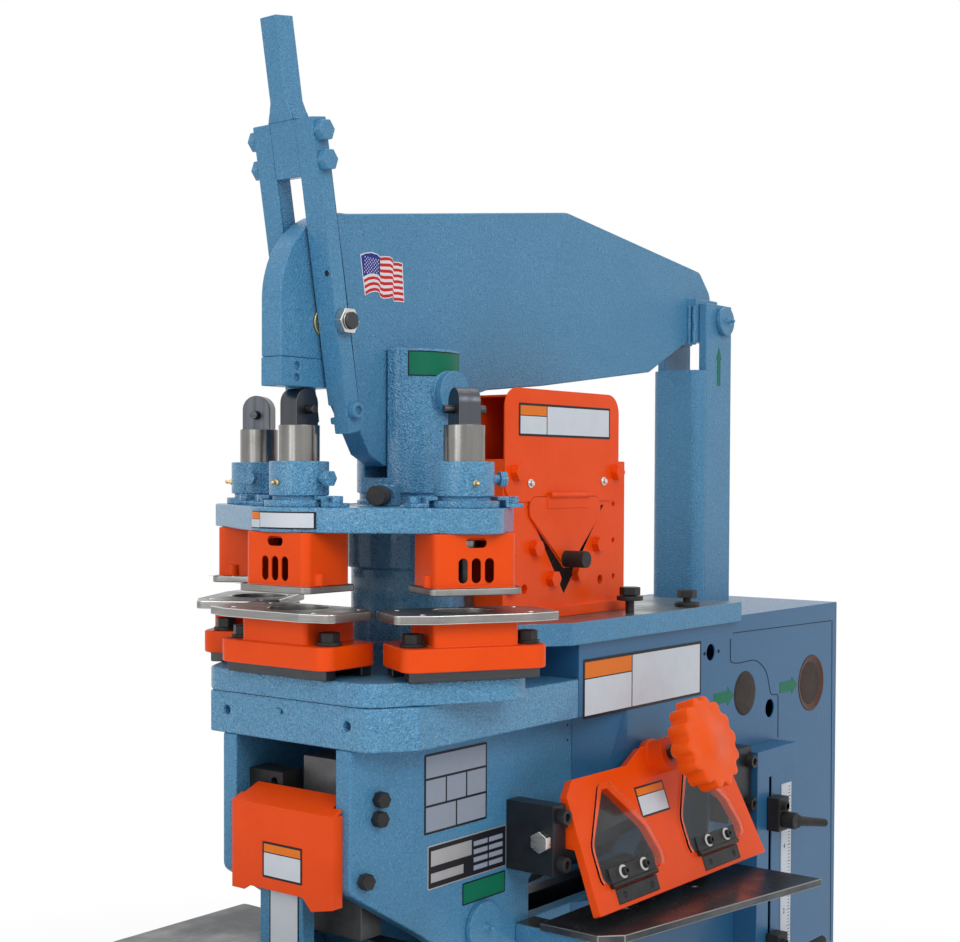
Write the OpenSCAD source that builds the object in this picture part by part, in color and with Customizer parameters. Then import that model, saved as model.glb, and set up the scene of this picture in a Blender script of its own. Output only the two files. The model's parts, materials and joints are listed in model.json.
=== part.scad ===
// Hydraulic ironworker with a three-station punch turret, notcher, angle shear and flat-bar shear.
// Origin on the floor under the turret column; +X to the rear cabinet, -Y the shear side, +Z up. Units mm.

/* [Frame] */

// height of the column's top above the floor
column_top = 1371; // [1350:1:1400]
// diameter of the turret column
column_d = 130; // [116:1:140]
// half the distance between the inner faces of the side plates
plate_gap = 100; // [94:1:106]
// thickness of the frame's side plates
plate_t = 20; // [16:1:25]
// half the width of the cabinet casing
casing_half = 163; // [160:1:170]
// rear end of the cabinet
cabinet_end = 907; // [860:1:1080]
// height of the cabinet's top
cabinet_top = 1008; // [1004:1:1012]
// thickness of the cabinet sheet
sheet_t = 3; // [2:0.5:4]
// thickness of the bolster under the turret
bolster_t = 50; // [42:1:60]
// thickness of the top table
table_t = 29; // [24:1:34]

/* [Turret] */

// radius of the circle the rams stand on
station_r = 195; // [192:1:200]
// angle between neighbouring stations
station_angle = 60; // [58:1:62]
// thickness of the upper turret plate
upper_t = 29; // [24:1:34]
// thickness of the lower turret plate
lower_t = 27.5; // [22:0.5:28]
// underside of the upper turret plate
upper_z = 1149; // [1149:1:1152]
// diameter of the rams
ram_d = 48; // [40:1:52]
// stroke of the rams
stroke = 28; // [23:1:30]
// height of the ram housings
housing_h = 53; // [44:1:54]
// diameter of the hole in the die tables
die_hole_d = 72; // [60:1:80]

/* [Arm and yoke] */

// thickness of the punching arm
arm_t = 32; // [27:1:34]
// height of the arm's pivot
arm_pivot_z = 1316; // [1312:1:1318]
// diameter of the arm's pivot pin
arm_pin_d = 40; // [34:1:48]
// distance from the arm's pivot to the link pin
link_x = 724; // [718:1:730]
// diameter of the link pins
link_pin_d = 30; // [25:1:36]
// width of the link plates
link_w = 80; // [68:1:84]
// forward lean of the yoke lever at rest
yoke_lean = 10; // [10:0.5:11]
// length of the handle above the yoke's stud
handle_h = 349; // [300:1:420]
// width of the yoke's straps
strap_w = 24; // [20:1:24]

/* [Shears and notcher] */

// outward lean of the hold-down plate
plate_lean = 20; // [19:0.5:21]
// thickness of the hold-down plate
hold_t = 12; // [10:1:12]
// diameter of the handwheel
wheel_d = 124; // [104:1:128]
// number of lobes on the handwheel
wheel_lobes = 14; // [10:1:16]
// thickness of the feed table
feed_t = 10; // [8:1:12]
// height of the feed table's top
feed_z = 660; // [658:1:660]
// thickness of the notcher's guard sheet
guard_t = 3; // [2:0.5:4]
// length of the scale's clamp levers
lever_l = 72; // [60:1:86]

/* [Hidden] */

$fn = 48;
run_gap = 0.05;
seat_gap = 0.5;

plate_out = plate_gap + plate_t;
bolster_top = 955;
bolster_z = bolster_top - bolster_t;
frame_front = -219;
frame_rear = 640;
ledge_x = 147;
cheek_x = -90;
cheek_in = 19;
base_t = 12;
shelf_z = 1001;
shelf_top = shelf_z + table_t;
shelf_end = 556;

lower_z = bolster_top + seat_gap;
lower_top = lower_z + lower_t;
holder_z = 995;
flange_t = 27;
block_top = 1050;
die_z = block_top;
die_t = 10;
foot_z = 1080;
foot_t = 8;
collar_z = 1100;
collar_d = column_d + 26;
hub_d = column_d + 14;
upper_top = upper_z + upper_t;
housing_top = upper_top + housing_h;
ram_shoulder = 1273;
tongue_t = 27;
tongue_w = 36;
tongue_top = 1316;
pin_z = 1291;
pin_d = 10;
plate_reach = station_r + 27;
plunger_h = 13;

beam_z = 662;
link_rise = 150;
lobe_r = 95;
stud_x = -172;
stud_z = 1393;
yoke_in = arm_t / 2 + 4;
strap_t = 28;
block_w = 2 * yoke_in;
strap_top = 232;
strap_low = 130;
slot_half = 6;
link_in = 31;
link_t = 14;
link_top = 1492;
beam_half = 20;

shear_x0 = 100;
shear_x1 = 480;
blade_t = 25;
hinge_y = -178;
hinge_z = 766;
block_y = hinge_y - 14;
plate_y = hinge_y - 33.5;
boss_x = 300;
boss_v = 74;
screw_d = 20;
screw_back = 19;
ear_x = [79, 470];
ear_t = 12;
flap_hinge = -65;
flap_foot = -60;
flap_out = 4;
wheel_gap = 62;
wheel_t = 30;
rod_x = 559.2;
rod_z = 621.5;
rod_pin_d = 30;
rod_slack = 1.6;

// ---- helpers ----

// a block between two corners given as ranges
module block(x, y, z) {
    translate([x[0], y[0], z[0]])
        cube([x[1] - x[0], y[1] - y[0], z[1] - z[0]]);
}

module rod_x(x, y, z, d) {
    translate([x[0], y, z])
        rotate([0, 90, 0])
            cylinder(d = d, h = x[1] - x[0]);
}

module rod_y(x, y, z, d) {
    translate([x, y[1], z])
        rotate([90, 0, 0])
            cylinder(d = d, h = y[1] - y[0]);
}

module rod_z(x, y, z, d) {
    translate([x, y, z[0]])
        cylinder(d = d, h = z[1] - z[0]);
}

// an outline drawn in X and Z, given its width along Y
module upright(y) {
    translate([0, y[1], 0])
        rotate([90, 0, 0])
            linear_extrude(y[1] - y[0])
                children();
}

// a polygon whose outward corners are rounded by the matching radii
module rounded(points, radii) {
    n = len(points);
    toward = [for (i = [0 : n - 1])
        let (a = points[(i + n - 1) % n] - points[i], b = points[(i + 1) % n] - points[i])
        [a / norm(a), b / norm(b)]];
    half = [for (t = toward) acos(t[0] * t[1]) / 2];
    polygon([for (i = [0 : n - 1])
        each radii[i] == 0
            ? [points[i]]
            : [for (t = toward[i]) points[i] + t * radii[i] / tan(half[i])]]);
    for (i = [0 : n - 1])
        if (radii[i] > 0)
            translate(points[i] + (toward[i][0] + toward[i][1]) / norm(toward[i][0] + toward[i][1])
                    * radii[i] / sin(half[i]))
                circle(r = radii[i]);
}

function pair(size, count) = [for (i = [1 : count]) size];

// a hexagon head standing on z = 0, across the flats af
module hex_head(af, h) {
    cylinder(d = af / cos(30), h = h, $fn = 6);
}

// a hexagon bolt head with a washer face, pointing along -Y from y
module bolt_near(x, y, z, af, h) {
    translate([x, y, z])
        rotate([90, 0, 0]) {
            cylinder(d = af * 1.1, h = h / 5);
            hex_head(af, h);
        }
}

// a cap screw head with its socket, pointing along +Z
module cap_screw(d, h) {
    difference() {
        cylinder(d = d, h = h);
        translate([0, 0, h / 2])
            cylinder(d = d * 0.58, h = h, $fn = 6);
    }
}

// a grease fitting pointing along +Z
module fitting(d) {
    hex_head(d, d * 0.45);
    cylinder(d = d * 0.6, h = d * 1.1);
    translate([0, 0, d * 1.1])
        sphere(d = d * 0.72);
}

// children once per station, +X pointing away from the column
module stations() {
    for (i = [-1 : 1])
        at_station(i)
            children();
}

module at_station(i) {
    rotate([0, 0, 180 + i * station_angle])
        translate([station_r, 0, 0])
            children();
}

// ---- frame ----

module base_plate() {
    color("steelblue")
        block([-240, cabinet_end + 8], [-casing_half - 27, casing_half + 27], [0, base_t]);
}

// outline of a side plate seen from the shear side
module side_outline() {
    difference() {
        rounded([[frame_front, bolster_z], [frame_rear, bolster_z], [frame_rear, base_t],
                [-60, base_t], [-60, 600], [-66, 630], [-80, 652], [-98, 665], [frame_front, 742]],
            [0, 0, 0, 0, 0, 0, 0, 0, 14]);
        shear_window(0);
    }
}

// the opening the flat bar passes through
module shear_window(grow) {
    polygon([[shear_x0 - grow, 650 - grow], [shear_x1 + grow, 650 - grow],
        [shear_x1 + grow, 800 + grow], [230, 800 + grow], [shear_x0 - grow, 700]]);
}

// Inner face of a side plate, which closes in from cheek_x towards the frame's front.
function cheek_y(x) = plate_gap - cheek_in * (cheek_x - x) / (cheek_x - frame_front);

module side_plates() {
    color("steelblue")
        for (side = [-1, 1])
            mirror([0, side > 0 ? 1 : 0, 0])
                difference() {
                    intersection() {
                        translate([0, 0, base_t])
                            linear_extrude(bolster_z - base_t)
                                polygon([[frame_front, -plate_out + 16], [-112, -plate_out],
                                    [frame_rear, -plate_out], [frame_rear, -plate_gap],
                                    [cheek_x, -plate_gap], [frame_front, -cheek_y(frame_front)]]);
                        upright([-plate_out, 0])
                            side_outline();
                    }
                    rod_y(0, [-plate_out - 1, 0], beam_z, 50);
                }
}

module bolster() {
    color("steelblue")
        difference() {
            translate([0, 0, bolster_z])
                linear_extrude(bolster_t)
                    difference() {
                        polygon([[frame_front, -126], [-168, -casing_half], [ledge_x, -casing_half],
                            [ledge_x, casing_half], [-168, casing_half], [frame_front, 126]]);
                        circle(d = column_d);
                    }
            for (y = [-98, 98])
                rod_x([frame_front - 1, frame_front + 25], y, bolster_top - 22, 11);
            rod_x([frame_front - 1, frame_front + 12], 6, bolster_top - 16, 5);
        }
}

module column() {
    color("steelblue")
        difference() {
            union() {
                rod_z(0, 0, [bolster_z, column_top], column_d);
                rod_y(0, [-column_d / 2 - 2, column_d / 2 + 2], arm_pivot_z, 57);
            }
            block([-column_d, column_d], [-arm_t / 2 - 2.5, arm_t / 2 + 2.5],
                [arm_pivot_z - lobe_r - 9, column_top + 1]);
            rod_y(0, [-column_d, column_d], arm_pivot_z, arm_pin_d);
            translate([0, 0, 1184])
                difference() {
                    cylinder(d = column_d + 2, h = 9);
                    translate([0, 0, -1])
                        cylinder(d = column_d - 7, h = 11);
                }
        }
}

// plan of the casing, its front faces slanted below the ledge
module casing_plan(inset, slant) {
    front = slant ? 262 : ledge_x;
    half = casing_half - inset;
    polygon([[ledge_x + (slant ? 45 : 0) + inset, -plate_out - (slant ? 0.5 : 0)], [front + inset, -half],
        [cabinet_end - inset, -half], [cabinet_end - inset, half], [front + inset, half],
        [ledge_x + (slant ? 45 : 0) + inset, plate_out + (slant ? 0.5 : 0)]]);
}

module casing() {
    side_hole = [[486, 960, 24], [590, 889, 66], [671, 857, 28], [813, 882, 90]];
    color("steelblue") {
        difference() {
            union() {
                translate([0, 0, base_t])
                    linear_extrude(bolster_z - base_t)
                        casing_plan(0, true);
                block([ledge_x, shelf_end], [-casing_half, casing_half], [bolster_z, shelf_z]);
                block([shelf_end, cabinet_end], [-casing_half, casing_half], [bolster_z, cabinet_top]);
            }
            translate([0, 0, base_t - 1])
                linear_extrude(bolster_z - base_t + 1 - sheet_t)
                    casing_plan(sheet_t, true);
            block([262 + sheet_t, cabinet_end - sheet_t], [sheet_t - casing_half, casing_half - sheet_t],
                [bolster_z - sheet_t - 1, shelf_z - sheet_t]);
            block([base_t, 262 + sheet_t + 1], [-plate_out - 0.5, plate_out + 0.5],
                [base_t - 1, bolster_z]);
            block([ledge_x + sheet_t, 270], [sheet_t - casing_half, 60 - sheet_t],
                [bolster_z, shelf_z - sheet_t]);
            block([ledge_x - 1, 245], [60, casing_half + 1], [bolster_top, shelf_z + 1]);
            block([245 + sheet_t, 270], [60 - sheet_t, casing_half - sheet_t],
                [bolster_top, shelf_z - sheet_t]);
            block([ledge_x + sheet_t, 262 + sheet_t + 1], [60 - sheet_t, casing_half - sheet_t],
                [bolster_z, bolster_top - sheet_t]);
            block([166, 254], [-66, -44], [shelf_z - sheet_t - 1, cabinet_top]);
            block([610, 770], [-50, 50], [shelf_z - sheet_t - 1, cabinet_top + 1]);
            upright([-casing_half - 1, casing_half + 1])
                shear_window(0);
            for (h = side_hole)
                rod_y(h[0], [-casing_half - 1, -casing_half + sheet_t + 1], h[1], h[2]);
        }
        block([-60, -60 + sheet_t], [-plate_gap, plate_gap], [base_t, 560]);
    }
}

// place of each stop bolt on the table, the heights of its washer and of its head
table_stops = [[290, -148, 17, 24], [430, -155, 0, 13]];

module top_table() {
    color("lightsteelblue")
        difference() {
            translate([0, 0, shelf_z])
                linear_extrude(table_t)
                    polygon([[46, -130], [115, -175], [shelf_end, -175], [shelf_end, 175],
                        [250, 175], [250, 60], [90, 60], [90, -40], [60, -95]]);
            block([166, 254], [-66, -44], [shelf_z - 1, shelf_top + 1]);
            for (p = table_stops)
                rod_z(p[0], p[1], [shelf_top - 16, shelf_top + 1], 12);
        }
}

module cross_beam() {
    color("steelblue")
        block([500, 620], [-plate_gap, plate_gap], [250, 290]);
}

module cylinder_barrel() {
    color("dimgray")
        difference() {
            union() {
                rod_z(rod_x, 0, [290, 520], 110);
                rod_z(rod_x, 0, [496, 520], 118);
            }
            rod_z(rod_x, 0, [305, 498], 80);
            rod_z(rod_x, 0, [490, 521], 50 + 2 * run_gap);
        }
}

module power_unit() {
    color("dimgray") {
        difference() {
            block([660, 880], [-140, 140], [base_t, 330]);
            block([664, 876], [-136, 136], [base_t + 4, 326]);
        }
        rod_y(770, [-60, 120], 415, 160);
        block([730, 810], [-30, 90], [330, 345]);
        rod_y(770, [-120, -60], 415, 84);
    }
}

// ---- notcher ----

module notcher_post() {
    color("steelblue") {
        block([-224, -204], [-35, 35], [base_t, 740]);
        block([-204, -100], [-60, 60], [base_t, 600]);
    }
}

module notcher_table() {
    color("gray") {
        difference() {
            translate([0, 0, feed_z - 12])
                linear_extrude(12)
                    difference() {
                        rounded([[-345, -185], [-108, -185], [-108, 185], [-345, 185]],
                            [30, 6, 6, 30]);
                        translate([-224.5, -35.5])
                            square([20.5, 71]);
                        translate([-204, -95])
                            square([104, 140]);
                    }
            for (p = [[-290, 120], [-290, -120]])
                rod_z(p[0], p[1], [feed_z - 20, feed_z + 1], 12);
        }
        difference() {
            block([-204, -100], [-95, 45], [600, feed_z]);
            block([-169, -126], [-76, 26], [599, feed_z + 1]);
        }
    }
}

module notcher_guard() {
    front = frame_front - 17;
    color("orangered") {
        upright_x([front, front + guard_t])
            difference() {
                polygon([[-93, 727], [-60, 720], [-46, 734], [40, 734], [50, 728], [70, 728],
                    [70, 832], [-93, 832]]);
            }
        block([front, frame_front], [-93, -93 + guard_t], [727, 832]);
        difference() {
            upright([-93, 70])
                polygon([[front, 832], [front, 829], [front + guard_t, 829], [-197, 845], [-197, 848]]);
            for (y = [[-94, -78], [66, 71]])
                block([frame_front - 1, -190], y, [820, 850]);
        }
    }
}

// an outline drawn in Y and Z, given its width along X
module upright_x(x) {
    translate([x[0], 0, 0])
        rotate([90, 0, 90])
            linear_extrude(x[1] - x[0])
                children();
}

module guide_block() {
    color("dimgray")
        difference() {
            translate([0, 0, 812])
                linear_extrude(50)
                    polygon([[-194, 28], [-160, 28], [-160, cheek_y(-160)], [-194, cheek_y(-194)]]);
            for (z = [825, 849])
                rod_x([-195, -184], 42, z, 11);
        }
}

// ---- flat-bar shear ----

module shear_blocks() {
    color("dimgray") {
        difference() {
            block([50, ear_x[0] - 2], [block_y, -plate_out], [723, 810]);
            rod_x([49, 80], hinge_y, hinge_z, 16 + 2 * run_gap);
        }
        difference() {
            block([ear_x[1] + ear_t + 4, 559], [block_y, -casing_half], [712, 817]);
            rod_x([480, 520], hinge_y, hinge_z, 16 + 2 * run_gap);
        }
    }
}

module feed_table() {
    color("gray") {
        difference() {
            translate([0, 0, feed_z - feed_t])
                linear_extrude(feed_t)
                    polygon([[60, -166], [478, -166], [478, -345], [84, -276], [60, -252]]);
            for (p = [[180, -215], [330, -232]])
                rod_z(p[0], p[1], [feed_z - 20, feed_z + 1], 12);
        }
        for (x = [70, 420])
            block([x, x + 40], [-230, x < 100 ? -plate_out : -casing_half],
                [feed_z - feed_t - 24, feed_z - feed_t]);
    }
}

// fixed blade and its holder, edge rising to the rear
module upper_blade() {
    color("gray") {
        upright([-45 - seat_gap - blade_t, -45 - seat_gap])
            polygon([[shear_x0 + 4, 665], [shear_x1 - 4, 704], [shear_x1 - 4, 764], [shear_x0 + 4, 725]]);
        upright([-plate_gap, -45 - seat_gap - blade_t])
            polygon([[shear_x0 + 4, 700], [shear_x1 - 4, 739], [shear_x1 - 4, 860], [shear_x0 + 4, 860]]);
    }
}

// places a drawing of the hold-down plate, X along the plate and Y up it, on its front face
module on_plate() {
    translate([0, plate_y, hinge_z])
        rotate([90 - plate_lean, 0, 0])
            children();
}

// the teardrop outline of a window, its foot on the left flap's hinge line
module window(x, grow) {
    translate([x, 0])
        rounded([[-grow, -62 - grow], [146 + grow, -62 - grow], [122 + grow, -8],
                [62 + grow, 52 + grow], [50 - grow, 52 + grow], [-grow, -12]],
            [14 + grow, 14 + grow, 24, 5 + grow, 5 + grow, 30]);
}

module hold_outline() {
    difference() {
        union() {
            rounded([[79, -95], [506, -95], [470, 74], [99, 74], [79, 56]],
                [3, 3, 14, 6, 6]);
            polygon([[215, 70], [268, 92], [332, 92], [385, 70]]);
            translate([boss_x, boss_v])
                circle(d = 52);
        }
        window(104, 0);
        window(318, 0);
        translate([boss_x, boss_v])
            circle(d = screw_d + 2 * run_gap);
    }
}

module hold_down() {
    color("orangered") {
        difference() {
            union() {
                on_plate() {
                    translate([0, 0, -hold_t])
                        linear_extrude(hold_t)
                            hold_outline();
                    translate([boss_x, boss_v, 0])
                        difference() {
                            cylinder(d = 46, h = 24);
                            translate([0, 0, -1])
                                cylinder(d = screw_d + 2 * run_gap, h = 30);
                        }
                }
                for (x = ear_x) {
                    block([x, x + ear_t], [hinge_y - 27, hinge_y], [hinge_z - 13, hinge_z + 13]);
                    rod_x([x, x + ear_t], hinge_y, hinge_z, 26);
                }
            }
            rod_x([70, 490], hinge_y, hinge_z, 16 + 2 * run_gap);
        }
    }
    color("dimgray")
        on_plate()
            for (x = [104, 318])
                lower_leaf(x);
}

module clamp_screw() {
    color("silver")
        on_plate()
            translate([boss_x, boss_v, -screw_back]) {
                difference() {
                    cylinder(d = screw_d, h = wheel_gap + screw_back - 1);
                    for (i = [0 : 8])
                        translate([0, 0, screw_back + 26 + i * 4])
                            difference() {
                                cylinder(d = screw_d + 1, h = 1.8);
                                translate([0, 0, -1])
                                    cylinder(d = screw_d - 3, h = 4);
                            }
                }
                cylinder(d = 14, h = wheel_gap + wheel_t + screw_back);
            }
}

module handwheel() {
    color("orangered")
        on_plate()
            translate([boss_x, boss_v, wheel_gap])
                difference() {
                    union() {
                        cylinder(d = wheel_d - 12, h = wheel_t);
                        for (i = [0 : wheel_lobes - 1])
                            rotate([0, 0, i * 360 / wheel_lobes])
                                translate([wheel_d / 2 - 9, 0, 0])
                                    cylinder(d = 18, h = wheel_t);
                    }
                    translate([0, 0, -1])
                        cylinder(d = 14 + 2 * run_gap, h = wheel_t + 2);
                }
}

// a clear flap over one window with the upper leaf and barrel of its hinge
module flap(x) {
    color("lightblue")
        on_plate()
            translate([0, 0, 0.5])
                linear_extrude(3)
                    intersection() {
                        window(x, 8);
                        translate([x - 20, flap_foot])
                            square([190, 130]);
                    }
    color("dimgray")
        on_plate() {
            translate([x + 10, flap_hinge, 3])
                cube([104, 22, 2]);
            translate([x + 10, flap_hinge, flap_out])
                rotate([0, 90, 0])
                    cylinder(d = 7, h = 104);
            for (i = [30, 79])
                translate([x + 10 + i, flap_hinge + 13, 4])
                    cylinder(d = 9, h = 5);
        }
}

// the leaf of a flap's hinge that is screwed to the hold-down plate
module lower_leaf(x) {
    difference() {
        translate([x + 19, flap_hinge - 24, 0])
            cube([96, 19, 2]);
        for (i = [16, 80])
            translate([x + 19 + i, flap_hinge - 15, 1])
                cylinder(d = 7, h = 2);
    }
}

module left_flap() {
    flap(104);
}

module right_flap() {
    flap(318);
}

// ---- angle shear ----

angle_x = [57, 337];
angle_front = -108;
angle_rear = 22;
angle_top = 1236;

module angle_v(grow) {
    polygon([[108 - grow, 1176 + grow], [191, 1060 - grow], [284 + grow, 1176 + grow]]);
}

module angle_body() {
    color("orangered")
        difference() {
            union() {
                block(angle_x, [angle_front, angle_rear], [shelf_top + 14, angle_top]);
                block(angle_x - [6, -6], [angle_front - 5, angle_rear], [shelf_top, shelf_top + 14]);
            }
            upright([angle_front - 6, angle_rear + 1])
                angle_v(0);
            block([100, 300], [-66, -44], [shelf_top - 1, angle_top + 1]);
            rod_z(0, 0, [shelf_top - 1, angle_top + 1], collar_d + 12);
            for (p = [[103, 1070, 12], [277, 1074, 12], [309, 1177, 7], [309, 1127, 7], [310, 1077, 7]])
                rod_y(p[0], [angle_front - 1, angle_front + 14], p[1], p[2]);
        }
}

// a plate over the body's front, folded back over the moving blade and open towards the turret
module angle_guard() {
    color("orangered") {
        difference() {
            upright([angle_front - guard_t, angle_front])
                rounded([[57, 1182], [317, 1182], [317, 1327], [57, 1327]], [24, 24, 26, 26]);
            upright([angle_front - guard_t - 1, angle_front + 1])
                translate([0, seat_gap])
                    flap_outline();
        }
        block([angle_x[0] + 45, angle_x[1] - 23], [angle_front - 0.5, -25], [1317, 1317 + guard_t]);
        block([angle_x[0] + 45, angle_x[1] - 23], [-25 - guard_t, -25], [angle_top, 1318]);
        block([angle_x[1] - 23 - guard_t, angle_x[1] - 23], [angle_front - 0.5, -25], [angle_top, 1318]);
    }
}

module angle_bolts() {
    color("orangered") {
        for (p = [[69, 1124], [123, 1122], [70, 1074], [161, 1081], [219, 1085], [267, 1123]])
            bolt_near(p[0], angle_front, p[1], 19, 10);
        for (p = [[79, 1219], [308, 1221]])
            bolt_near(p[0], angle_front - guard_t, p[1], 19, 10);
    }
    color("silver")
        for (p = [[110.6, 1205.5], [279.3, 1208.5]])
            translate([p[0], angle_front - guard_t, p[1]])
                rotate([90, 0, 0]) {
                    cylinder(d = 12, h = 1.5);
                    cylinder(d = 7, h = 5);
                }
}

module angle_blade() {
    color("gray")
        difference() {
            union() {
                block([104, 296], [-64, -46], [shelf_top + 3, 1140]);
                block([170, 250], [-64, -46], [shelf_z - 86, shelf_top + 4]);
            }
            upright([-65, -45])
                translate([0, -3])
                    angle_v(0);
        }
}

// the shield-shaped outline of the flap over the V
module flap_outline() {
    rounded([[108, 1188], [110, 1163], [186, 1094], [200, 1094], [271, 1163], [274, 1188]],
        [14, 8, 5, 5, 8, 14]);
}

module angle_flap() {
    color("orangered") {
        upright([angle_front - guard_t - 0.5, angle_front - 0.5])
            flap_outline();
        block([147, 240], [angle_front - guard_t - 2, angle_front - guard_t - 0.2], [1173, 1190]);
        rod_x([149, 241], angle_front - guard_t - 4, 1190.5, 7);
    }
    color("dimgray")
        rod_y(190, [angle_front - 37, angle_front - guard_t], 1106, 22);
}

// ---- cabinet fittings ----

box_x = [561, 686];
box_front = -201;
slot_x = 602;
clamp_z = [505, 711];

module switch_box() {
    color("steelblue")
        difference() {
            block(box_x, [box_front, -casing_half], [430, 807]);
            block([box_x[0] + 2, box_x[1] - 2], [box_front + 2, -casing_half + 1], [432, 805]);
            block([slot_x - 4, slot_x + 4], [box_front - 1, box_front + 3], [460, 765]);
        }
    color("silver")
        block([637, 669], [box_front - 1, box_front], [450, 748]);
}

module cabinet_plugs() {
    color("dimgray") {
        rod_y(590, [-casing_half - 1.5, -casing_half + sheet_t], 889, 66);
        rod_y(813, [-casing_half + 1, -casing_half + sheet_t], 882, 90);
    }
}

module clamp_at(z) {
    color("dimgray") {
        difference() {
            block([590, 622], [box_front - 21, box_front - 0.5], [z - 25, z + 25]);
            rod_y(slot_x + 4, [box_front - 22, box_front], z - 8, 10 + 2 * run_gap);
        }
        rod_y(slot_x, [box_front - 1, box_front + 8], z + 12, 7);
        rod_y(slot_x, [box_front + 4, box_front + 10], z + 12, 16);
        translate([slot_x - 2, box_front - 21, z + 14])
            rotate([90, 0, 0])
                cap_screw(13, 9);
    }
}

module upper_clamp() {
    clamp_at(clamp_z[1]);
}

module lower_clamp() {
    clamp_at(clamp_z[0]);
}

// a clamp lever turning about its screw
module lever_at(z, turn) {
    color("dimgray")
        translate([slot_x + 4, box_front - 21.5, z - 8]) {
            rotate([90, 0, 0])
                cylinder(d = 25, h = 20);
            rotate([-90, 0, 0])
                cylinder(d = 10, h = 18);
            rotate([0, turn, 0])
                translate([0, -12, 0])
                    rotate([0, 90, 0]) {
                        rotate([18, 0, 0])
                            cylinder(d1 = 16, d2 = 12, h = lever_l);
                    }
        }
}

module upper_lever() {
    lever_at(clamp_z[1], 10);
}

module lower_lever() {
    lever_at(clamp_z[0], -14);
}

module frame_bolts() {
    color("dimgray") {
        for (p = [[-178, 846], [-180, 824], [-200, 756]])
            translate([p[0], -plate_out + 16 - (p[0] - frame_front) * 0.1495, p[1]])
                rotate([90, 0, -8.5])
                    hex_head(17, 12);
        for (p = [[65, 796], [65, 737], [547, 796], [547, 733]])
            translate([p[0], block_y, p[1]])
                rotate([90, 0, 0])
                    cap_screw(19, 12);
        for (p = table_stops)
            translate([p[0], p[1], shelf_top]) {
                translate([0, 0, -16])
                    cylinder(d = 12, h = 16 + p[3] + 1);
                translate([0, 0, p[2]])
                    cylinder(d = 36, h = 6);
                translate([0, 0, p[3]])
                    hex_head(25, 11);
            }
    }
    color("silver") {
        rod_x([50, ear_x[0] + ear_t + 1], hinge_y, hinge_z, 16);
        translate([50, hinge_y, hinge_z])
            rotate([0, -90, 0])
                hex_head(24, 11);
        rod_x([ear_x[1] - 1, 519], hinge_y, hinge_z, 16);
    }
}

// ---- pivots ----

module pivot_pins() {
    color("steelblue") {
        rod_y(0, [-column_d / 2 - 2, column_d / 2 + 2], arm_pivot_z, arm_pin_d);
        for (side = [-1, 1])
            rod_y(0, side < 0 ? [-column_d / 2 - 12, -column_d / 2 - 2] : [column_d / 2 + 2, column_d / 2 + 12],
                arm_pivot_z, 57);
        rod_y(0, [-plate_out, plate_out], beam_z, 50);
        for (side = [-1, 1])
            rod_y(0, side < 0 ? [-plate_out - 8, -plate_out] : [plate_out, plate_out + 8], beam_z, 62);
    }
    color("goldenrod") {
        translate([0, -column_d / 2 - 12, arm_pivot_z])
            rotate([90, 0, 0])
                fitting(9);
        translate([0, -plate_out - 8, beam_z])
            rotate([90, 0, 0])
                fitting(9);
    }
}

// ---- arm and yoke ----

module arm_outline() {
    rounded([[-241, 1350], [-146, 1350], [-128, 1300], [-91, 1240], [-63, 1226], [60, 1243], [95, 1316],
            [142, 1329], [268, 1341], [549, 1376], [707, 1453], [741, 1504], [700, 1545],
            [326, 1590], [-131, 1526]],
        [0, 0, 0, 0, 0, 0, 0, 0, 0, 0, 12, 24, 20, 60, 0]);
    intersection() {
        translate([-131, 1416])
            circle(r = 110);
        translate([-242, 1415])
            square([113, 112]);
    }
    translate([-241, 1350])
        square([111, 66]);
    translate([0, arm_pivot_z])
        circle(r = lobe_r);
}

module arm() {
    pad_t = link_in - 1 - arm_t / 2;
    color("steelblue")
        difference() {
            union() {
                upright([-arm_t / 2, arm_t / 2])
                    arm_outline();
                for (side = [-1, 1])
                    translate([0, side * (arm_t / 2 + pad_t / 2), 0])
                        block([link_x - 58, link_x + 10], [-pad_t / 2, pad_t / 2], [1430, 1500]);
            }
            rod_y(0, [-arm_t, arm_t], arm_pivot_z, arm_pin_d + 2 * run_gap);
            rod_y(link_x, [-link_in, link_in], arm_pivot_z + link_rise, link_pin_d + 2 * run_gap);
            rod_y(stud_x, [-arm_t, arm_t], stud_z, 20);
        }
}

module nose_insert() {
    color("steelblue")
        difference() {
            block([-241, -150], [-arm_t / 2, arm_t / 2], [tongue_top + 1, 1350]);
            for (z = [1327, 1341])
                rod_y(-214, [-arm_t / 2 - 1, 5 - arm_t / 2], z, 9);
        }
}

module yoke_stud() {
    color("silver") {
        rod_y(stud_x, [-yoke_in - strap_t - 16, yoke_in + strap_t + 12], stud_z, 20);
        for (side = [-1, 1])
            translate([stud_x, side * (yoke_in + strap_t + 0.5), stud_z])
                rotate([side * -90, 0, 0])
                    difference() {
                        hex_head(28, 11);
                        translate([0, 0, -1])
                            cylinder(d = 20, h = 13);
                    }
        for (side = [-1, 1])
            translate([stud_x, side * (arm_t / 2 + 1.75), stud_z])
                rotate([90, 0, 0])
                    difference() {
                        cylinder(d = 34, h = 3.5, center = true);
                        cylinder(d = 20, h = 6, center = true);
                    }
    }
}

module yoke_frame() {
    translate([stud_x, 0, stud_z])
        rotate([0, -yoke_lean, 0])
            children();
}

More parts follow.
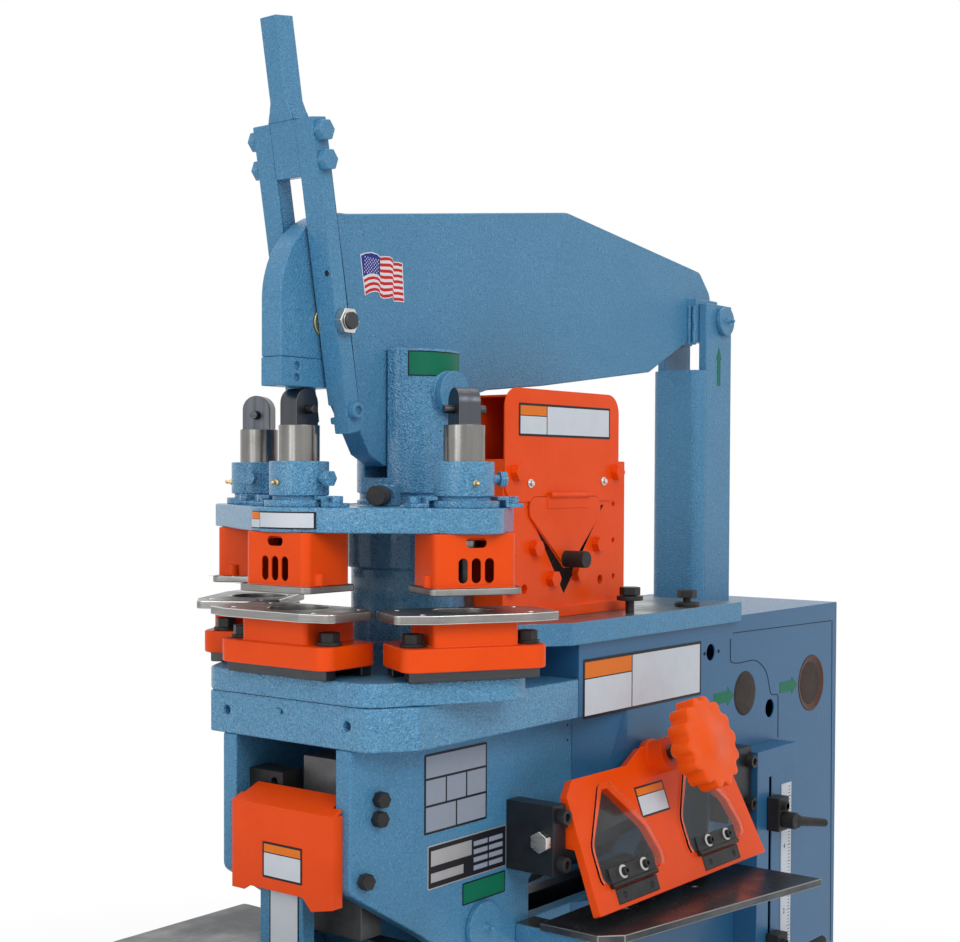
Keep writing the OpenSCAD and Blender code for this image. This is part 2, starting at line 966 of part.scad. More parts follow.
module yoke_straps() {
    pin_drop = norm([station_r + stud_x, stud_z - pin_z]);
    color("steelblue")
        yoke_frame()
            for (side = [-1, 1])
                mirror([0, side > 0 ? 1 : 0, 0])
                    difference() {
                        block([-strap_w / 2, strap_w / 2], [-yoke_in - strap_t, -yoke_in],
                            [-strap_low, strap_top]);
                        block([-strap_w / 2 - 1, 6], [-yoke_in - 6.5, -yoke_in + 1],
                            [-pin_drop - slot_half, -pin_drop + slot_half + 2]);
                        block([-strap_w, strap_w], [-yoke_in - 5, -yoke_in + 1],
                            [-strap_low - 1, -pin_drop - slot_half - 8]);
                        rod_y(0, [-yoke_in - strap_t - 1, -yoke_in + 1], 0, 20 + 2 * run_gap);
                        for (z = [183, 216])
                            rod_y(0, [-yoke_in - strap_t - 1, -yoke_in + 1], z, 13);
                    }
}

module yoke_handle() {
    color("steelblue")
        yoke_frame()
            difference() {
                union() {
                    block([-strap_w / 2, strap_w / 2], [-yoke_in, yoke_in], [168, strap_top + 1]);
                    upright_x([-14, 14])
                        polygon([[-yoke_in, strap_top], [yoke_in, strap_top], [13, strap_top + 22], [13, handle_h],
                            [-13, handle_h], [-13, strap_top + 22]]);
                }
                for (z = [183, 216])
                    rod_y(0, [-yoke_in - 1, yoke_in + 1], z, 13);
            }
}

module yoke_bolts() {
    color("steelblue")
        yoke_frame() {
            for (z = [183, 216]) {
                rod_y(0, [-yoke_in - strap_t, yoke_in + strap_t], z, 13);
                for (side = [-1, 1])
                    translate([0, side * (yoke_in + strap_t), z])
                        rotate([side * -90, 0, 0])
                            hex_head(22, 11);
            }
            for (side = [-1, 1])
                translate([0, side * (yoke_in + strap_t), -104])
                    rotate([side * -90, 0, 0])
                        cap_screw(19, 9);
        }
}

// ---- link and lower beam ----

link_z = arm_pivot_z + link_rise;
beam_pin_z = beam_z + link_rise;

module link_plates() {
    color("steelblue")
        difference() {
            for (y = [[-link_in - link_t, -link_in], [link_in, link_in + link_t]])
                block([link_x - link_w + 28, link_x + 28], y, [beam_pin_z - 40, link_top]);
            for (z = [link_z, beam_pin_z])
                rod_y(link_x, [-60, 60], z, link_pin_d);
        }
}

// bent sheet between the link plates' front edges
module link_cover() {
    front = link_x - link_w + 6;
    half = link_in + link_t;
    color("steelblue")
        translate([0, 0, 900])
            linear_extrude(485)
                intersection() {
                    difference() {
                        rounded([[front, -half], [front + 80, -half], [front + 80, half], [front, half]],
                            [20, 0, 0, 20]);
                        rounded([[front + 3, 3 - half], [front + 80, 3 - half], [front + 80, half - 3],
                                [front + 3, half - 3]],
                            [17, 0, 0, 17]);
                    }
                    translate([front, -half])
                        square([22, 2 * half]);
                }
}

module link_pins() {
    out = link_in + link_t;
    color("steelblue")
        for (z = [link_z, beam_pin_z]) {
            rod_y(link_x, [-out, out], z, link_pin_d);
            for (y = [[-out - 9, -out], [out, out + 9]])
                rod_y(link_x, y, z, 46);
        }
    color("goldenrod")
        translate([link_x, -out - 9, link_z])
            rotate([90, 0, 0])
                fitting(9);
}

module beam() {
    color("steelblue")
        difference() {
            upright([-beam_half, beam_half])
                polygon([[-130, 690], [-130, 875], [-70, 875], [-50, 765], [40, 750], [90, 640],
                    [500, 636], [560, 690], [690, 860], [760, 860], [775, 790], [612, 600],
                    [612, 592], [506, 592], [506, 520], [100, 520], [-62, 600], [-90, 690]]);
            rod_y(0, [-60, 60], beam_z, 50 + 2 * run_gap);
            rod_y(link_x, [-60, 60], beam_pin_z, link_pin_d + 1);
            rod_y(rod_x, [-60, 60], rod_z, rod_pin_d + 2 * rod_slack);
        }
}

module notcher_punch() {
    color("gray")
        block([-165, -130], [-72, 22], [672, 880]);
}

module lower_blade() {
    color("gray")
        upright([-45, -beam_half])
            polygon([[shear_x0 + 4, 586], [shear_x1 - 4, 586], [shear_x1 - 4, 646], [shear_x0 + 4, 646]]);
}

module cylinder_rod() {
    color("silver") {
        rod_z(rod_x, 0, [310, 335], 80 - 2 * run_gap);
        rod_z(rod_x, 0, [335, 575], 50);
        difference() {
            block([rod_x - 35, rod_x + 35], [-48, 48], [575, 655]);
            block([rod_x - 36, rod_x + 36], [-beam_half - 1, beam_half + 1], [583, 656]);
            rod_y(rod_x, [-50, 50], rod_z, rod_pin_d);
        }
        rod_y(rod_x, [-56, 56], rod_z, rod_pin_d);
    }
}

// ---- turret ----

// plan of a turret plate, its straight edges facing the stations
module turret_plan(reach, over, corner) {
    side = [for (i = [-1, 0, 1]) 180 + i * station_angle];
    dir = [for (a = side) [cos(a), sin(a)]];
    turn = [for (a = side) [-sin(a), cos(a)]];
    edge = reach / cos(station_angle / 2);
    mid = [for (i = [-0.5, 0.5]) 180 + i * station_angle];
    difference() {
        rounded([dir[0] * reach - turn[0] * over, edge * [cos(mid[0]), sin(mid[0])],
                edge * [cos(mid[1]), sin(mid[1])], dir[2] * reach + turn[2] * over,
                turn[2] * over - dir[2] * 20, [over + 16, 0], -turn[0] * over - dir[0] * 20],
            [corner, corner, corner, corner, 0, 0, 0]);
        circle(d = column_d + 2 * run_gap);
    }
}

// plan of the upper plate, its two long edges meeting in a broad nose at the front station
module nosed_plan(reach, over) {
    out = [for (i = [-0.5, 0.5]) let (a = 180 + i * station_angle) [cos(a), sin(a)]];
    along = [[-out[0][1], out[0][0]] * -1, [-out[1][1], out[1][0]]];
    nose = reach / cos(station_angle / 2);
    difference() {
        rounded([out[0] * reach + along[0] * over, [-nose, 0], out[1] * reach + along[1] * over,
                out[1] * (reach - 120) + along[1] * over, out[1] * 28 + along[1] * 74,
                out[0] * 28 + along[0] * 74, out[0] * (reach - 120) + along[0] * over],
            [28, 95, 28, 0, 0, 0, 0]);
        circle(d = column_d + 2 * run_gap);
    }
}

module upper_turret_plate() {
    color("steelblue")
        difference() {
            translate([0, 0, upper_z])
                linear_extrude(upper_t)
                    union() {
                        nosed_plan(station_r + 25, 147);
                        difference() {
                            circle(d = collar_d + 8);
                            circle(d = column_d + 2 * run_gap);
                        }
                    }
            stations()
                rod_z(0, 0, [upper_z - 1, upper_top + 1], ram_d + 2 * run_gap);
        }
}

module lower_turret_plate() {
    color("steelblue")
        difference() {
            union() {
                translate([0, 0, lower_z])
                    linear_extrude(lower_t)
                        union() {
                            turret_plan(plate_reach, 78, 34);
                            circle(d = collar_d);
                        }
                rod_z(0, 0, [lower_top - 1, upper_z], hub_d);
                rod_z(0, 0, [collar_z, upper_z], collar_d);
            }
            rod_z(0, 0, [lower_z - 1, upper_z + 1], column_d + 2 * run_gap);
            stations()
                rod_z(0, 0, [lower_z - 1, lower_top + 1], 44);
        }
}

module ram_housings() {
    color("steelblue") {
        stations()
            difference() {
                union() {
                    rod_z(0, 0, [upper_top, upper_top + 8], 82);
                    rod_z(0, 0, [upper_top + 7, upper_top + 14], 62);
                    rod_z(0, 0, [upper_top + 13, housing_top], 70);
                }
                rod_z(0, 0, [upper_top - 1, housing_top + 1], ram_d + 2 * run_gap);
            }
        stations()
            for (side = [-1, 1])
                translate([0, side * 37, upper_top])
                    difference() {
                        union() {
                            block([-13, 13], side > 0 ? [10, 32] : [-32, -10], [0, 5]);
                            block([-13, 13], side > 0 ? [10, 14] : [-14, -10], [0, 13]);
                            block([-13, 13], side > 0 ? [-0.5, 14] : [-14, 0.5], [8.5, 13]);
                        }
                        rod_z(0, side * 23.5, [-1, 8], 8);
                    }
        rotate([0, 0, 206])
            difference() {
                block([84, 112], [-13, 13], [upper_top, upper_top + 26]);
                rod_x([83, 113], 0, upper_top + plunger_h, 12 + 2 * run_gap);
            }
    }
}

module turret_bolts() {
    color("steelblue")
        stations() {
            for (side = [-1, 1])
                translate([0, side * 60.5, upper_top + 5])
                    hex_head(13, 8);
            translate([0, 35.05, upper_top + 33])
                rotate([-90, 0, 0]) {
                    cylinder(d = 10, h = 14);
                    translate([0, 0, 8])
                        hex_head(17, 9);
                }
            translate([35.05, 0, upper_top + 28])
                rotate([0, 90, 0])
                    fitting(7);
        }
    color("dimgray")
        stations()
            for (side = [-1, 1])
                translate([22, side * 70, holder_z + flange_t]) {
                    cylinder(d = 30, h = 4);
                    hex_head(22, 15);
                }
}

// a slot through a wall facing X, its ends round
module slot_through(x, y, z, w) {
    half_w = w / 2;
    for (i = [0, 1])
        rod_x(x, y[i], z[i], w);
    if (z[1] > z[0])
        block(x, [y[0] - half_w, y[0] + half_w], z);
    if (y[1] > y[0])
        block(x, y, [z[0] - half_w, z[0] + half_w]);
}

module strippers() {
    color("orangered")
        stations()
            difference() {
                union() {
                    translate([0, 0, foot_z + foot_t])
                        linear_extrude(upper_z - foot_z - foot_t)
                            rounded([[-36, -50], [40, -50], [40, 50], [-36, 50]], pair(10, 4));
                    for (side = [-1, 1])
                        translate([18, side * 50, foot_z + foot_t])
                            rod_z(0, 0, [0, 14], 12);
                }
                block([-33, 37], [-47, 47], [foot_z + foot_t - 1, upper_z - 8]);
                rod_z(0, 0, [upper_z - 9, upper_z + 1], ram_d + 3);
                for (y = [-16, 0, 16])
                    slot_through([30, 50], [y, y], [1099, 1116], 11);
                slot_through([30, 50], [-7, 7], [1139, 1139], 11);
            }
    color("silver")
        stations()
            difference() {
                translate([0, 0, foot_z])
                    linear_extrude(foot_t)
                        rounded([[-40, -56], [46, -56], [46, 56], [-40, 56]], pair(10, 4));
                rod_z(0, 0, [foot_z - 1, foot_z + foot_t + 1], 36);
            }
}

module die_tables() {
    color("silver") {
        stations()
            difference() {
                translate([0, 0, die_z])
                    linear_extrude(die_t)
                        rounded([[-44, -62], [-20, -100], [50, -100], [62, -60], [62, 60], [50, 100],
                                [-20, 100], [-44, 62]],
                            pair(10, 8));
                rod_z(0, 0, [die_z - 1, die_z + die_t + 1], die_hole_d);
                for (p = [[44, 66], [44, -66], [-22, 74], [-22, -74]])
                    rod_z(p[0], p[1], [die_z - 1, die_z + die_t + 1], 9);
            }
        stations()
            difference() {
                rod_z(0, 0, [block_top - 18, die_z + 2], die_hole_d - 1);
                rod_z(0, 0, [block_top - 19, die_z + die_t + 1], 30);
            }
    }
}

module die_holders() {
    color("orangered")
        stations()
            difference() {
                union() {
                    translate([0, 0, holder_z])
                        linear_extrude(flange_t)
                            rounded([[-42, -88], [48, -88], [48, 88], [-42, 88]], pair(16, 4));
                    translate([0, 0, holder_z + flange_t - 1])
                        linear_extrude(block_top - holder_z - flange_t + 1)
                            rounded([[-42, -52], [44, -52], [44, 52], [-42, 52]], pair(8, 4));
                }
                rod_z(0, 0, [block_top - 18, block_top + 1], die_hole_d - 1);
                rod_z(0, 0, [holder_z - 1, block_top + 1], 44);
            }
    color("dimgray")
        stations()
            for (side = [-1, 1])
                translate([side * 30, 0, lower_top])
                    block([-9, 9], [-80, 80], [0, holder_z - lower_top]);
}

module index_plunger() {
    color("dimgray")
        rotate([0, 0, 206])
            translate([0, 0, upper_top + plunger_h]) {
                rod_x([column_d / 2 + 1, 130], 0, 0, 12);
                rod_x([122, 150], 0, 0, 24);
            }
}

// a ram with its cross pin and punch
module ram() {
    color("silver") {
        difference() {
            union() {
                rod_z(0, 0, [upper_z - 18, ram_shoulder], ram_d);
                intersection() {
                    rod_z(0, 0, [ram_shoulder - 1, tongue_top], ram_d);
                    block([-tongue_w / 2, tongue_w / 2], [-tongue_t / 2, tongue_t / 2],
                        [ram_shoulder - 1, tongue_top - tongue_w / 2]);
                }
                rod_y(0, [-tongue_t / 2, tongue_t / 2], tongue_top - tongue_w / 2, tongue_w);
            }
            rod_y(0, [-30, 30], pin_z, pin_d + 0.1);
        }
        rod_y(0, [-25.5, 25.5], pin_z, pin_d);
        rod_z(0, 0, [upper_z - 30, upper_z - 18.1], 44);
        rod_z(0, 0, [foot_z + 4, upper_z - 30], 22);
    }
}

module front_ram() {
    at_station(0)
        ram();
}

module left_ram() {
    at_station(-1)
        ram();
}

module right_ram() {
    at_station(1)
        ram();
}

base_plate();
side_plates();
bolster();
column();
casing();
top_table();
cross_beam();
cylinder_barrel();
power_unit();
notcher_post();
notcher_table();
notcher_guard();
guide_block();
shear_blocks();
feed_table();
upper_blade();
angle_body();
angle_guard();
angle_bolts();
switch_box();
cabinet_plugs();
frame_bolts();
pivot_pins();
arm();
nose_insert();
yoke_stud();
yoke_straps();
yoke_handle();
yoke_bolts();
link_plates();
link_cover();
link_pins();
beam();
notcher_punch();
lower_blade();
cylinder_rod();
angle_blade();
angle_flap();
hold_down();
clamp_screw();
handwheel();
left_flap();
right_flap();
upper_clamp();
lower_clamp();
upper_lever();
lower_lever();
upper_turret_plate();
lower_turret_plate();
ram_housings();
turret_bolts();
strippers();
die_tables();
die_holders();
index_plunger();
front_ram();
left_ram();
right_ram();
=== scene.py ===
# An ironworker: finishes, signs, threads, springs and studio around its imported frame.
import json
import math

import bmesh
import bpy
from mathutils import Matrix, Vector


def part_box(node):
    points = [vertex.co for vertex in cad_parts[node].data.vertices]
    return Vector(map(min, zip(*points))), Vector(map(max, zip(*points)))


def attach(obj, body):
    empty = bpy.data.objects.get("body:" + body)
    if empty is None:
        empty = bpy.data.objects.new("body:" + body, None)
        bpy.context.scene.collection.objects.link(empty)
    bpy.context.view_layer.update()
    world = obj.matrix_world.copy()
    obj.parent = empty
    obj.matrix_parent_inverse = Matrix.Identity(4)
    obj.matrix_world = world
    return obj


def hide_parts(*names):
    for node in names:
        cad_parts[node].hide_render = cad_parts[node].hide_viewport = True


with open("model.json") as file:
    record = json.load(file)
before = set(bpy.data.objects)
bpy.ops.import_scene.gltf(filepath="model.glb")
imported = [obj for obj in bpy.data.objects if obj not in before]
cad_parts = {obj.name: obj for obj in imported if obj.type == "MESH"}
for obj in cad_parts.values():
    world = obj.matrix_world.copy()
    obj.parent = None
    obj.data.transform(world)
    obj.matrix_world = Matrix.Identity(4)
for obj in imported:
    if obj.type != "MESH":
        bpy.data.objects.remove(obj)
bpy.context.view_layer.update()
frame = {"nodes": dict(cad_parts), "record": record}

nodes = frame["nodes"]
record = frame["record"]
bodyOf = {node: body for body, names in record["behaviour"]["bodies"].items() for node in names}
slotOf = {part["node"]: part["material_slot"] for part in record["subparts"]}
scene = bpy.context.scene
mm = 0.001


# Short ways to write a node tree: addNode gives the node itself, add its first output.
def addNode(tree, kind, inputs=None, **settings):
    node = tree.nodes.new(kind)
    for key, value in settings.items():
        setattr(node, key, value)
    for socket, value in (inputs or {}).items():
        if isinstance(value, bpy.types.NodeSocket):
            tree.links.new(value, node.inputs[socket])
        else:
            node.inputs[socket].default_value = value
    return node


def add(tree, kind, inputs, **settings):
    return addNode(tree, kind, inputs, **settings).outputs[0]


def maths(tree, operation, *values):
    return add(tree, "ShaderNodeMath", dict(enumerate(values)), operation=operation)


def noise(tree, place, scale, detail=2.0, roughness=0.5, stretch=None):
    if stretch:
        place = add(tree, "ShaderNodeMapping", {"Vector": place, "Scale": stretch})
    inputs = {"Vector": place, "Scale": scale, "Detail": detail, "Roughness": roughness}
    return add(tree, "ShaderNodeTexNoise", inputs)


def spread(tree, value, low, high, toLow, toHigh):
    inputs = {"Value": value, "From Min": low, "From Max": high, "To Min": toLow, "To Max": toHigh}
    return add(tree, "ShaderNodeMapRange", inputs)


def mixColour(tree, amount, below, above):
    return addNode(tree, "ShaderNodeMix", {0: amount, 6: below, 7: above}, data_type="RGBA").outputs[2]


def bump(tree, height, strength, distance):
    return add(tree, "ShaderNodeBump", {"Height": height, "Strength": strength, "Distance": distance})


def shade(colour, share):
    return [c * share for c in colour[:3]] + [1]


# A material with plain values on some sockets, and later links into others.
def newMaterial(name, **values):
    material = bpy.data.materials.new(name)
    material.use_nodes = True
    tree = material.node_tree
    for socket, value in values.items():
        tree.nodes["Principled BSDF"].inputs[socket.replace("_", " ")].default_value = value
    return material, tree, addNode(tree, "ShaderNodeTexCoord").outputs["Object"]


def linked(material, **links):
    tree = material.node_tree
    for socket, value in links.items():
        tree.links.new(value, tree.nodes["Principled BSDF"].inputs[socket.replace("_", " ")])
    return material


# Hammered paint: shallow dimples with ridges between them, with painted highlights (glints) along thin ridge lines and
# painted shade in the pits.
def makeHammerPaint(name, look):
    material, tree, place = newMaterial(name, IOR=1.38, Coat_Weight=look["coat"], Coat_Roughness=0.1)
    worms = noise(tree, place, look["grain"], 1.5, 0.5)
    away = maths(tree, "ABSOLUTE", maths(tree, "SUBTRACT", worms, 0.52))
    line = spread(tree, away, 0.0, look["line"], 1.0, 0.0)
    patches = noise(tree, place, look["grain"] * 0.6, 2.0, 0.6)
    lit = maths(tree, "MULTIPLY", line, spread(tree, patches, 0.4, 0.65, 0.15, 1.0))
    broad = spread(tree, noise(tree, place, 9.0, 3.0, 0.55), 0.38, 0.66, 0.0, 0.3)
    # Painted shade darkens the pits; painted highlights in the glint colour light the thin lines.
    tone = mixColour(tree, spread(tree, worms, 0.56, 0.72, 0.0, look["pitShade"]), look["base"], shade(look["base"], 0.55))
    tone = mixColour(tree, spread(tree, lit, 0.0, 1.0, 0.0, look["glints"]), tone, look["light"])
    tone = mixColour(tree, broad, tone, shade(look["base"], 0.85))
    return linked(material, Base_Color=tone, Roughness=spread(tree, patches, 0.3, 0.7, 0.28, 0.42),
                  Normal=bump(tree, worms, look["ripple"], 0.0022))


# Smooth guard paint with orange peel, faint clouds and a little dust.
def makeGuardPaint(name, colour):
    material, tree, place = newMaterial(name, IOR=1.33, Specular_IOR_Level=0.4)
    peel = noise(tree, place, 150.0, 2.0, 0.5)
    clouds = spread(tree, noise(tree, place, 16.0, 4.0, 0.6), 0.42, 0.72, 0.0, 0.4)
    dust = spread(tree, noise(tree, place, 60.0, 5.0, 0.7), 0.62, 0.8, 0.0, 0.12)
    tone = mixColour(tree, clouds, colour, (colour[0] * 0.86, colour[1] * 0.78, colour[2] * 0.9, 1))
    tone = mixColour(tree, dust, tone, (0.8, 0.2, 0.07, 1))
    return linked(material, Base_Color=tone, Roughness=spread(tree, clouds, 0.0, 0.4, 0.30, 0.44),
                  Normal=bump(tree, peel, 0.35, 0.0007))


# Bright or dark steel: fine lines along one way, and stained clouds.
def makeSteel(name, colour, rough, streak, stain=0.4, grain=(30.0, 30.0, 900.0)):
    material, tree, place = newMaterial(name, Metallic=1.0)
    lines = noise(tree, place, 1.0, 3.0, 0.6, grain)
    blotch = spread(tree, noise(tree, place, 22.0, 5.0, 0.65), 0.45, 0.75, 0.0, stain)
    tone = mixColour(tree, spread(tree, lines, 0.35, 0.65, 0.0, streak), colour, shade(colour, 0.62))
    tone = mixColour(tree, blotch, tone, (0.12, 0.10, 0.085, 1))
    return linked(material, Base_Color=tone, Roughness=spread(tree, lines, 0.3, 0.7, rough - 0.08, rough + 0.1),
                  Normal=bump(tree, lines, 0.12, 0.0002))


# Rolled plate with its mill scale: dark, with lighter worn clouds.
def makeMillScale(name, colour, worn, rough):
    material, tree, place = newMaterial(name, Metallic=0.75, IOR=1.5)
    clouds = noise(tree, place, 11.0, 5.0, 0.6)
    rub = noise(tree, place, 1.0, 4.0, 0.6, (18.0, 90.0, 90.0))
    tone = mixColour(tree, spread(tree, clouds, 0.38, 0.68, 0.0, 0.85), colour, worn)
    tone = mixColour(tree, spread(tree, rub, 0.5, 0.75, 0.0, 0.5), tone, shade(colour, 0.6))
    return linked(material, Base_Color=tone, Roughness=spread(tree, clouds, 0.3, 0.7, rough + 0.12, rough - 0.08),
                  Normal=bump(tree, rub, 0.1, 0.0003))


# Black paint, oxide, plastic or rubber: a fine skin with paler worn patches.
def makeBlack(name, colour=(0.017, 0.017, 0.019, 1), rough=0.42, worn=(0.05, 0.048, 0.047, 1)):
    material, tree, place = newMaterial(name, IOR=1.4, Specular_IOR_Level=0.35)
    skin = noise(tree, place, 300.0, 3.0, 0.6)
    patches = spread(tree, noise(tree, place, 40.0, 4.0, 0.6), 0.4, 0.7, 0.0, 0.5)
    return linked(material, Base_Color=mixColour(tree, patches, colour, worn),
                  Roughness=spread(tree, skin, 0.3, 0.7, rough - 0.07, rough + 0.1),
                  Normal=bump(tree, skin, 0.2, 0.0003))


# A printed or plain sheet's surface, slightly uneven.
def makePrint(name, colour, rough, metallic=0.0):
    material, tree, place = newMaterial(name, Metallic=metallic, IOR=1.35, Specular_IOR_Level=0.3)
    clouds = spread(tree, noise(tree, place, 45.0, 4.0, 0.6), 0.45, 0.75, 0.0, 0.3)
    grain = noise(tree, place, 120.0, 3.0)
    return linked(material, Base_Color=mixColour(tree, clouds, colour, shade(colour, 0.82)),
                  Roughness=spread(tree, grain, 0.3, 0.7, rough - 0.06, rough + 0.06))


bluePaint = makeHammerPaint("bluePaint", {
    "base": (0.060, 0.240, 0.432, 1), "light": (0.24, 0.47, 0.67, 1), "coat": 0.12, "grain": 460.0,
    "line": 0.05, "glints": 0.8, "pitShade": 0.7, "ripple": 0.7})
sheetPaint = makeHammerPaint("sheetPaint", {
    "base": (0.026, 0.130, 0.275, 1), "light": (0.08, 0.23, 0.40, 1), "coat": 0.08, "grain": 520.0,
    "line": 0.05, "glints": 0.4, "pitShade": 0.3, "ripple": 0.15})
castPaint = makeHammerPaint("castPaint", {
    "base": (0.090, 0.330, 0.575, 1), "light": (0.42, 0.70, 0.90, 1), "coat": 0.45, "grain": 440.0,
    "line": 0.042, "glints": 0.9, "pitShade": 0.9, "ripple": 1.9})
orangePaint = makeGuardPaint("orangePaint", (0.90, 0.078, 0.003, 1))
wheelPlastic = makeGuardPaint("wheelPlastic", (0.95, 0.100, 0.003, 1))
groundSteel = makeSteel("groundSteel", (0.31, 0.305, 0.295, 1), 0.38, 0.5)
turnedSteel = makeSteel("turnedSteel", (0.25, 0.245, 0.235, 1), 0.24, 0.7, 0.5, (160.0, 160.0, 6.0))
darkSteel = makeSteel("darkSteel", (0.075, 0.08, 0.088, 1), 0.38, 0.5, 0.3)
ramSteel = makeSteel("ramSteel", (0.085, 0.092, 0.105, 1), 0.34, 0.4, 0.2, (160.0, 160.0, 6.0))
plateSteel = makeMillScale("plateSteel", (0.075, 0.08, 0.085, 1), (0.24, 0.24, 0.235, 1), 0.34)
millSteel = makeMillScale("millSteel", (0.045, 0.05, 0.058, 1), (0.13, 0.135, 0.14, 1), 0.26)
tableTop = makeMillScale("tableTop", (0.16, 0.175, 0.185, 1), (0.34, 0.36, 0.37, 1), 0.3)
bladeSteel = makeMillScale("bladeSteel", (0.13, 0.13, 0.135, 1), (0.22, 0.22, 0.225, 1), 0.42)
brightEdge = makeSteel("brightEdge", (0.66, 0.66, 0.65, 1), 0.25, 0.3, 0.15)
hardChrome = makeSteel("hardChrome", (0.74, 0.74, 0.75, 1), 0.12, 0.1, 0.05)
blackOxide = makeBlack("blackOxide")
blackPaint = makeBlack("blackPaint", (0.013, 0.016, 0.021, 1), 0.34, (0.025, 0.028, 0.034, 1))
leverPlastic = makeBlack("leverPlastic", (0.018, 0.017, 0.018, 1), 0.5, (0.045, 0.042, 0.042, 1))
rubber = makeBlack("rubber", (0.030, 0.022, 0.020, 1), 0.6, (0.075, 0.045, 0.035, 1))
brownRubber = makeBlack("brownRubber", (0.085, 0.034, 0.022, 1), 0.5, (0.13, 0.060, 0.045, 1))
holeShade = makeBlack("holeShade", (0.006, 0.008, 0.011, 1), 0.7, (0.012, 0.012, 0.014, 1))
zinc = makeSteel("zinc", (0.66, 0.65, 0.62, 1), 0.26, 0.2, 0.1)
brass = makeSteel("brass", (0.62, 0.46, 0.22, 1), 0.3, 0.2, 0.2)
labelGrey = makePrint("labelGrey", (0.30, 0.335, 0.41, 1), 0.42)
labelWhite = makePrint("labelWhite", (0.66, 0.70, 0.76, 1), 0.38)
labelBlack = makePrint("labelBlack", (0.012, 0.014, 0.020, 1), 0.34)
labelOrange = makePrint("labelOrange", (0.84, 0.20, 0.02, 1), 0.38)
labelGreen = makePrint("labelGreen", (0.004, 0.165, 0.088, 1), 0.4)
labelSilver = makePrint("labelSilver", (0.45, 0.46, 0.47, 1), 0.36, 0.5)
flagRed = makePrint("flagRed", (0.62, 0.022, 0.028, 1), 0.34)
flagWhite = makePrint("flagWhite", (0.80, 0.79, 0.80, 1), 0.34)
flagBlue = makePrint("flagBlue", (0.025, 0.035, 0.27, 1), 0.34)
# The flap washers' pale colour is a painted highlight.
washerHighlight = makePrint("washerHighlight", (0.72, 0.72, 0.71, 1), 0.4)
clearPlastic, clearTree, clearPlace = newMaterial("clearPlastic", Base_Color=(0.93, 0.95, 0.96, 1), Roughness=0.06,
                                                  Transmission_Weight=1.0, IOR=1.22)
linked(clearPlastic, Normal=bump(clearTree, noise(clearTree, clearPlace, 35.0, 3.0), 0.06, 0.0006))
print("finishes made")

# Frame nodes are copied, their loose triangles merged, their edges broken and their faces given finishes.
finishOf = {"blue_paint": bluePaint, "orange_paint": orangePaint, "grey_paint": tableTop, "steel": groundSteel,
            "chrome": hardChrome, "black_steel": blackOxide, "rubber": rubber, "clear_plastic": clearPlastic}


def shownMesh(obj):
    graph = bpy.context.evaluated_depsgraph_get()
    return bpy.data.meshes.new_from_object(obj.evaluated_get(graph))


def plainMesh(obj):
    mesh = shownMesh(obj)
    obj.modifiers.clear()
    obj.data = mesh
    return obj


def addObject(name, data, material=None):
    obj = bpy.data.objects.new(name, data)
    scene.collection.objects.link(obj)
    if material:
        obj.data.materials.clear()
        obj.data.materials.append(material)
    return obj


def meshFrom(work, name, materials=(), matrix=None):
    bmesh.ops.recalc_face_normals(work, faces=work.faces)
    mesh = bpy.data.meshes.new(name)
    work.to_mesh(mesh)
    work.free()
    if matrix:
        mesh.transform(matrix)
    for material in materials:
        mesh.materials.append(material)
    return mesh


def smoothMesh(obj, degrees):
    obj.data.polygons.foreach_set("use_smooth", [True] * len(obj.data.polygons))
    obj.data.set_sharp_from_angle(angle=math.radians(degrees))
    return obj


# A new piece moves with the body of the node it sits on.
def addPart(obj, node):
    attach(obj, bodyOf[node])
    return obj


# Every loose part of a mesh as a list of its faces, with its lowest and highest corner in millimetres.
def looseParts(work):
    work.faces.ensure_lookup_table()
    seen = set()
    for first in work.faces:
        if first.index in seen:
            continue
        seen.add(first.index)
        reach = [first]
        for face in reach:
            for edge in face.edges:
                for other in edge.link_faces:
                    if other.index not in seen:
                        seen.add(other.index)
                        reach.append(other)
        corners = [vert.co / mm for face in reach for vert in face.verts]
        low = Vector([min(c[i] for c in corners) for i in range(3)])
        high = Vector([max(c[i] for c in corners) for i in range(3)])
        yield reach, low, high


# choose(centre, normal, low, high) names another finish for a face, from its place and its loose part's box.
def finishNode(node, width, finish, choose=None, edge=None):
    mesh = nodes[node].data.copy()
    work = bmesh.new()
    work.from_mesh(mesh)
    bmesh.ops.remove_doubles(work, verts=work.verts, dist=2e-6)
    bmesh.ops.dissolve_limit(work, angle_limit=math.radians(0.5), verts=work.verts, edges=work.edges)
    finishes = [finish]
    if choose:
        for faces, low, high in looseParts(work):
            for face in faces:
                other = choose(face.calc_center_median() / mm, face.normal, low, high)
                if other and other not in finishes:
                    finishes.append(other)
                face.material_index = finishes.index(other) if other else 0
    else:
        for face in work.faces:
            face.material_index = 0
    if edge:
        finishes.append(edge)
    mesh.materials.clear()
    for material in finishes:
        mesh.materials.append(material)
    work.to_mesh(mesh)
    work.free()
    obj = addObject(node + "_finished", mesh)
    bevel = obj.modifiers.new("edges", "BEVEL")
    bevel.width = width * mm
    bevel.segments = 2
    bevel.limit_method = "ANGLE"
    bevel.angle_limit = math.radians(35)
    bevel.use_clamp_overlap = False
    bevel.material = len(finishes) - 1 if edge else -1
    smoothMesh(plainMesh(obj), 40)
    even = obj.modifiers.new("evenNormals", "WEIGHTED_NORMAL")
    even.weight = 100
    even.keep_sharp = True
    plainMesh(obj)
    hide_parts(node)
    return addPart(obj, node)


# Where one node shows more than one finish: places are in millimetres.
def aboveZ(level, upper, lower=None):
    def chosen(centre, normal, low, high):
        return upper if centre.z > level else lower
    return chosen


def inside(spot, look):
    (x0, x1), (z0, z1) = look["x"], look["z"]
    return x0 < spot.x < x1 and z0 < spot.z < z1


def awayFrom(spot, look):
    return math.hypot(spot.x - look["x"], spot.z - look["z"])


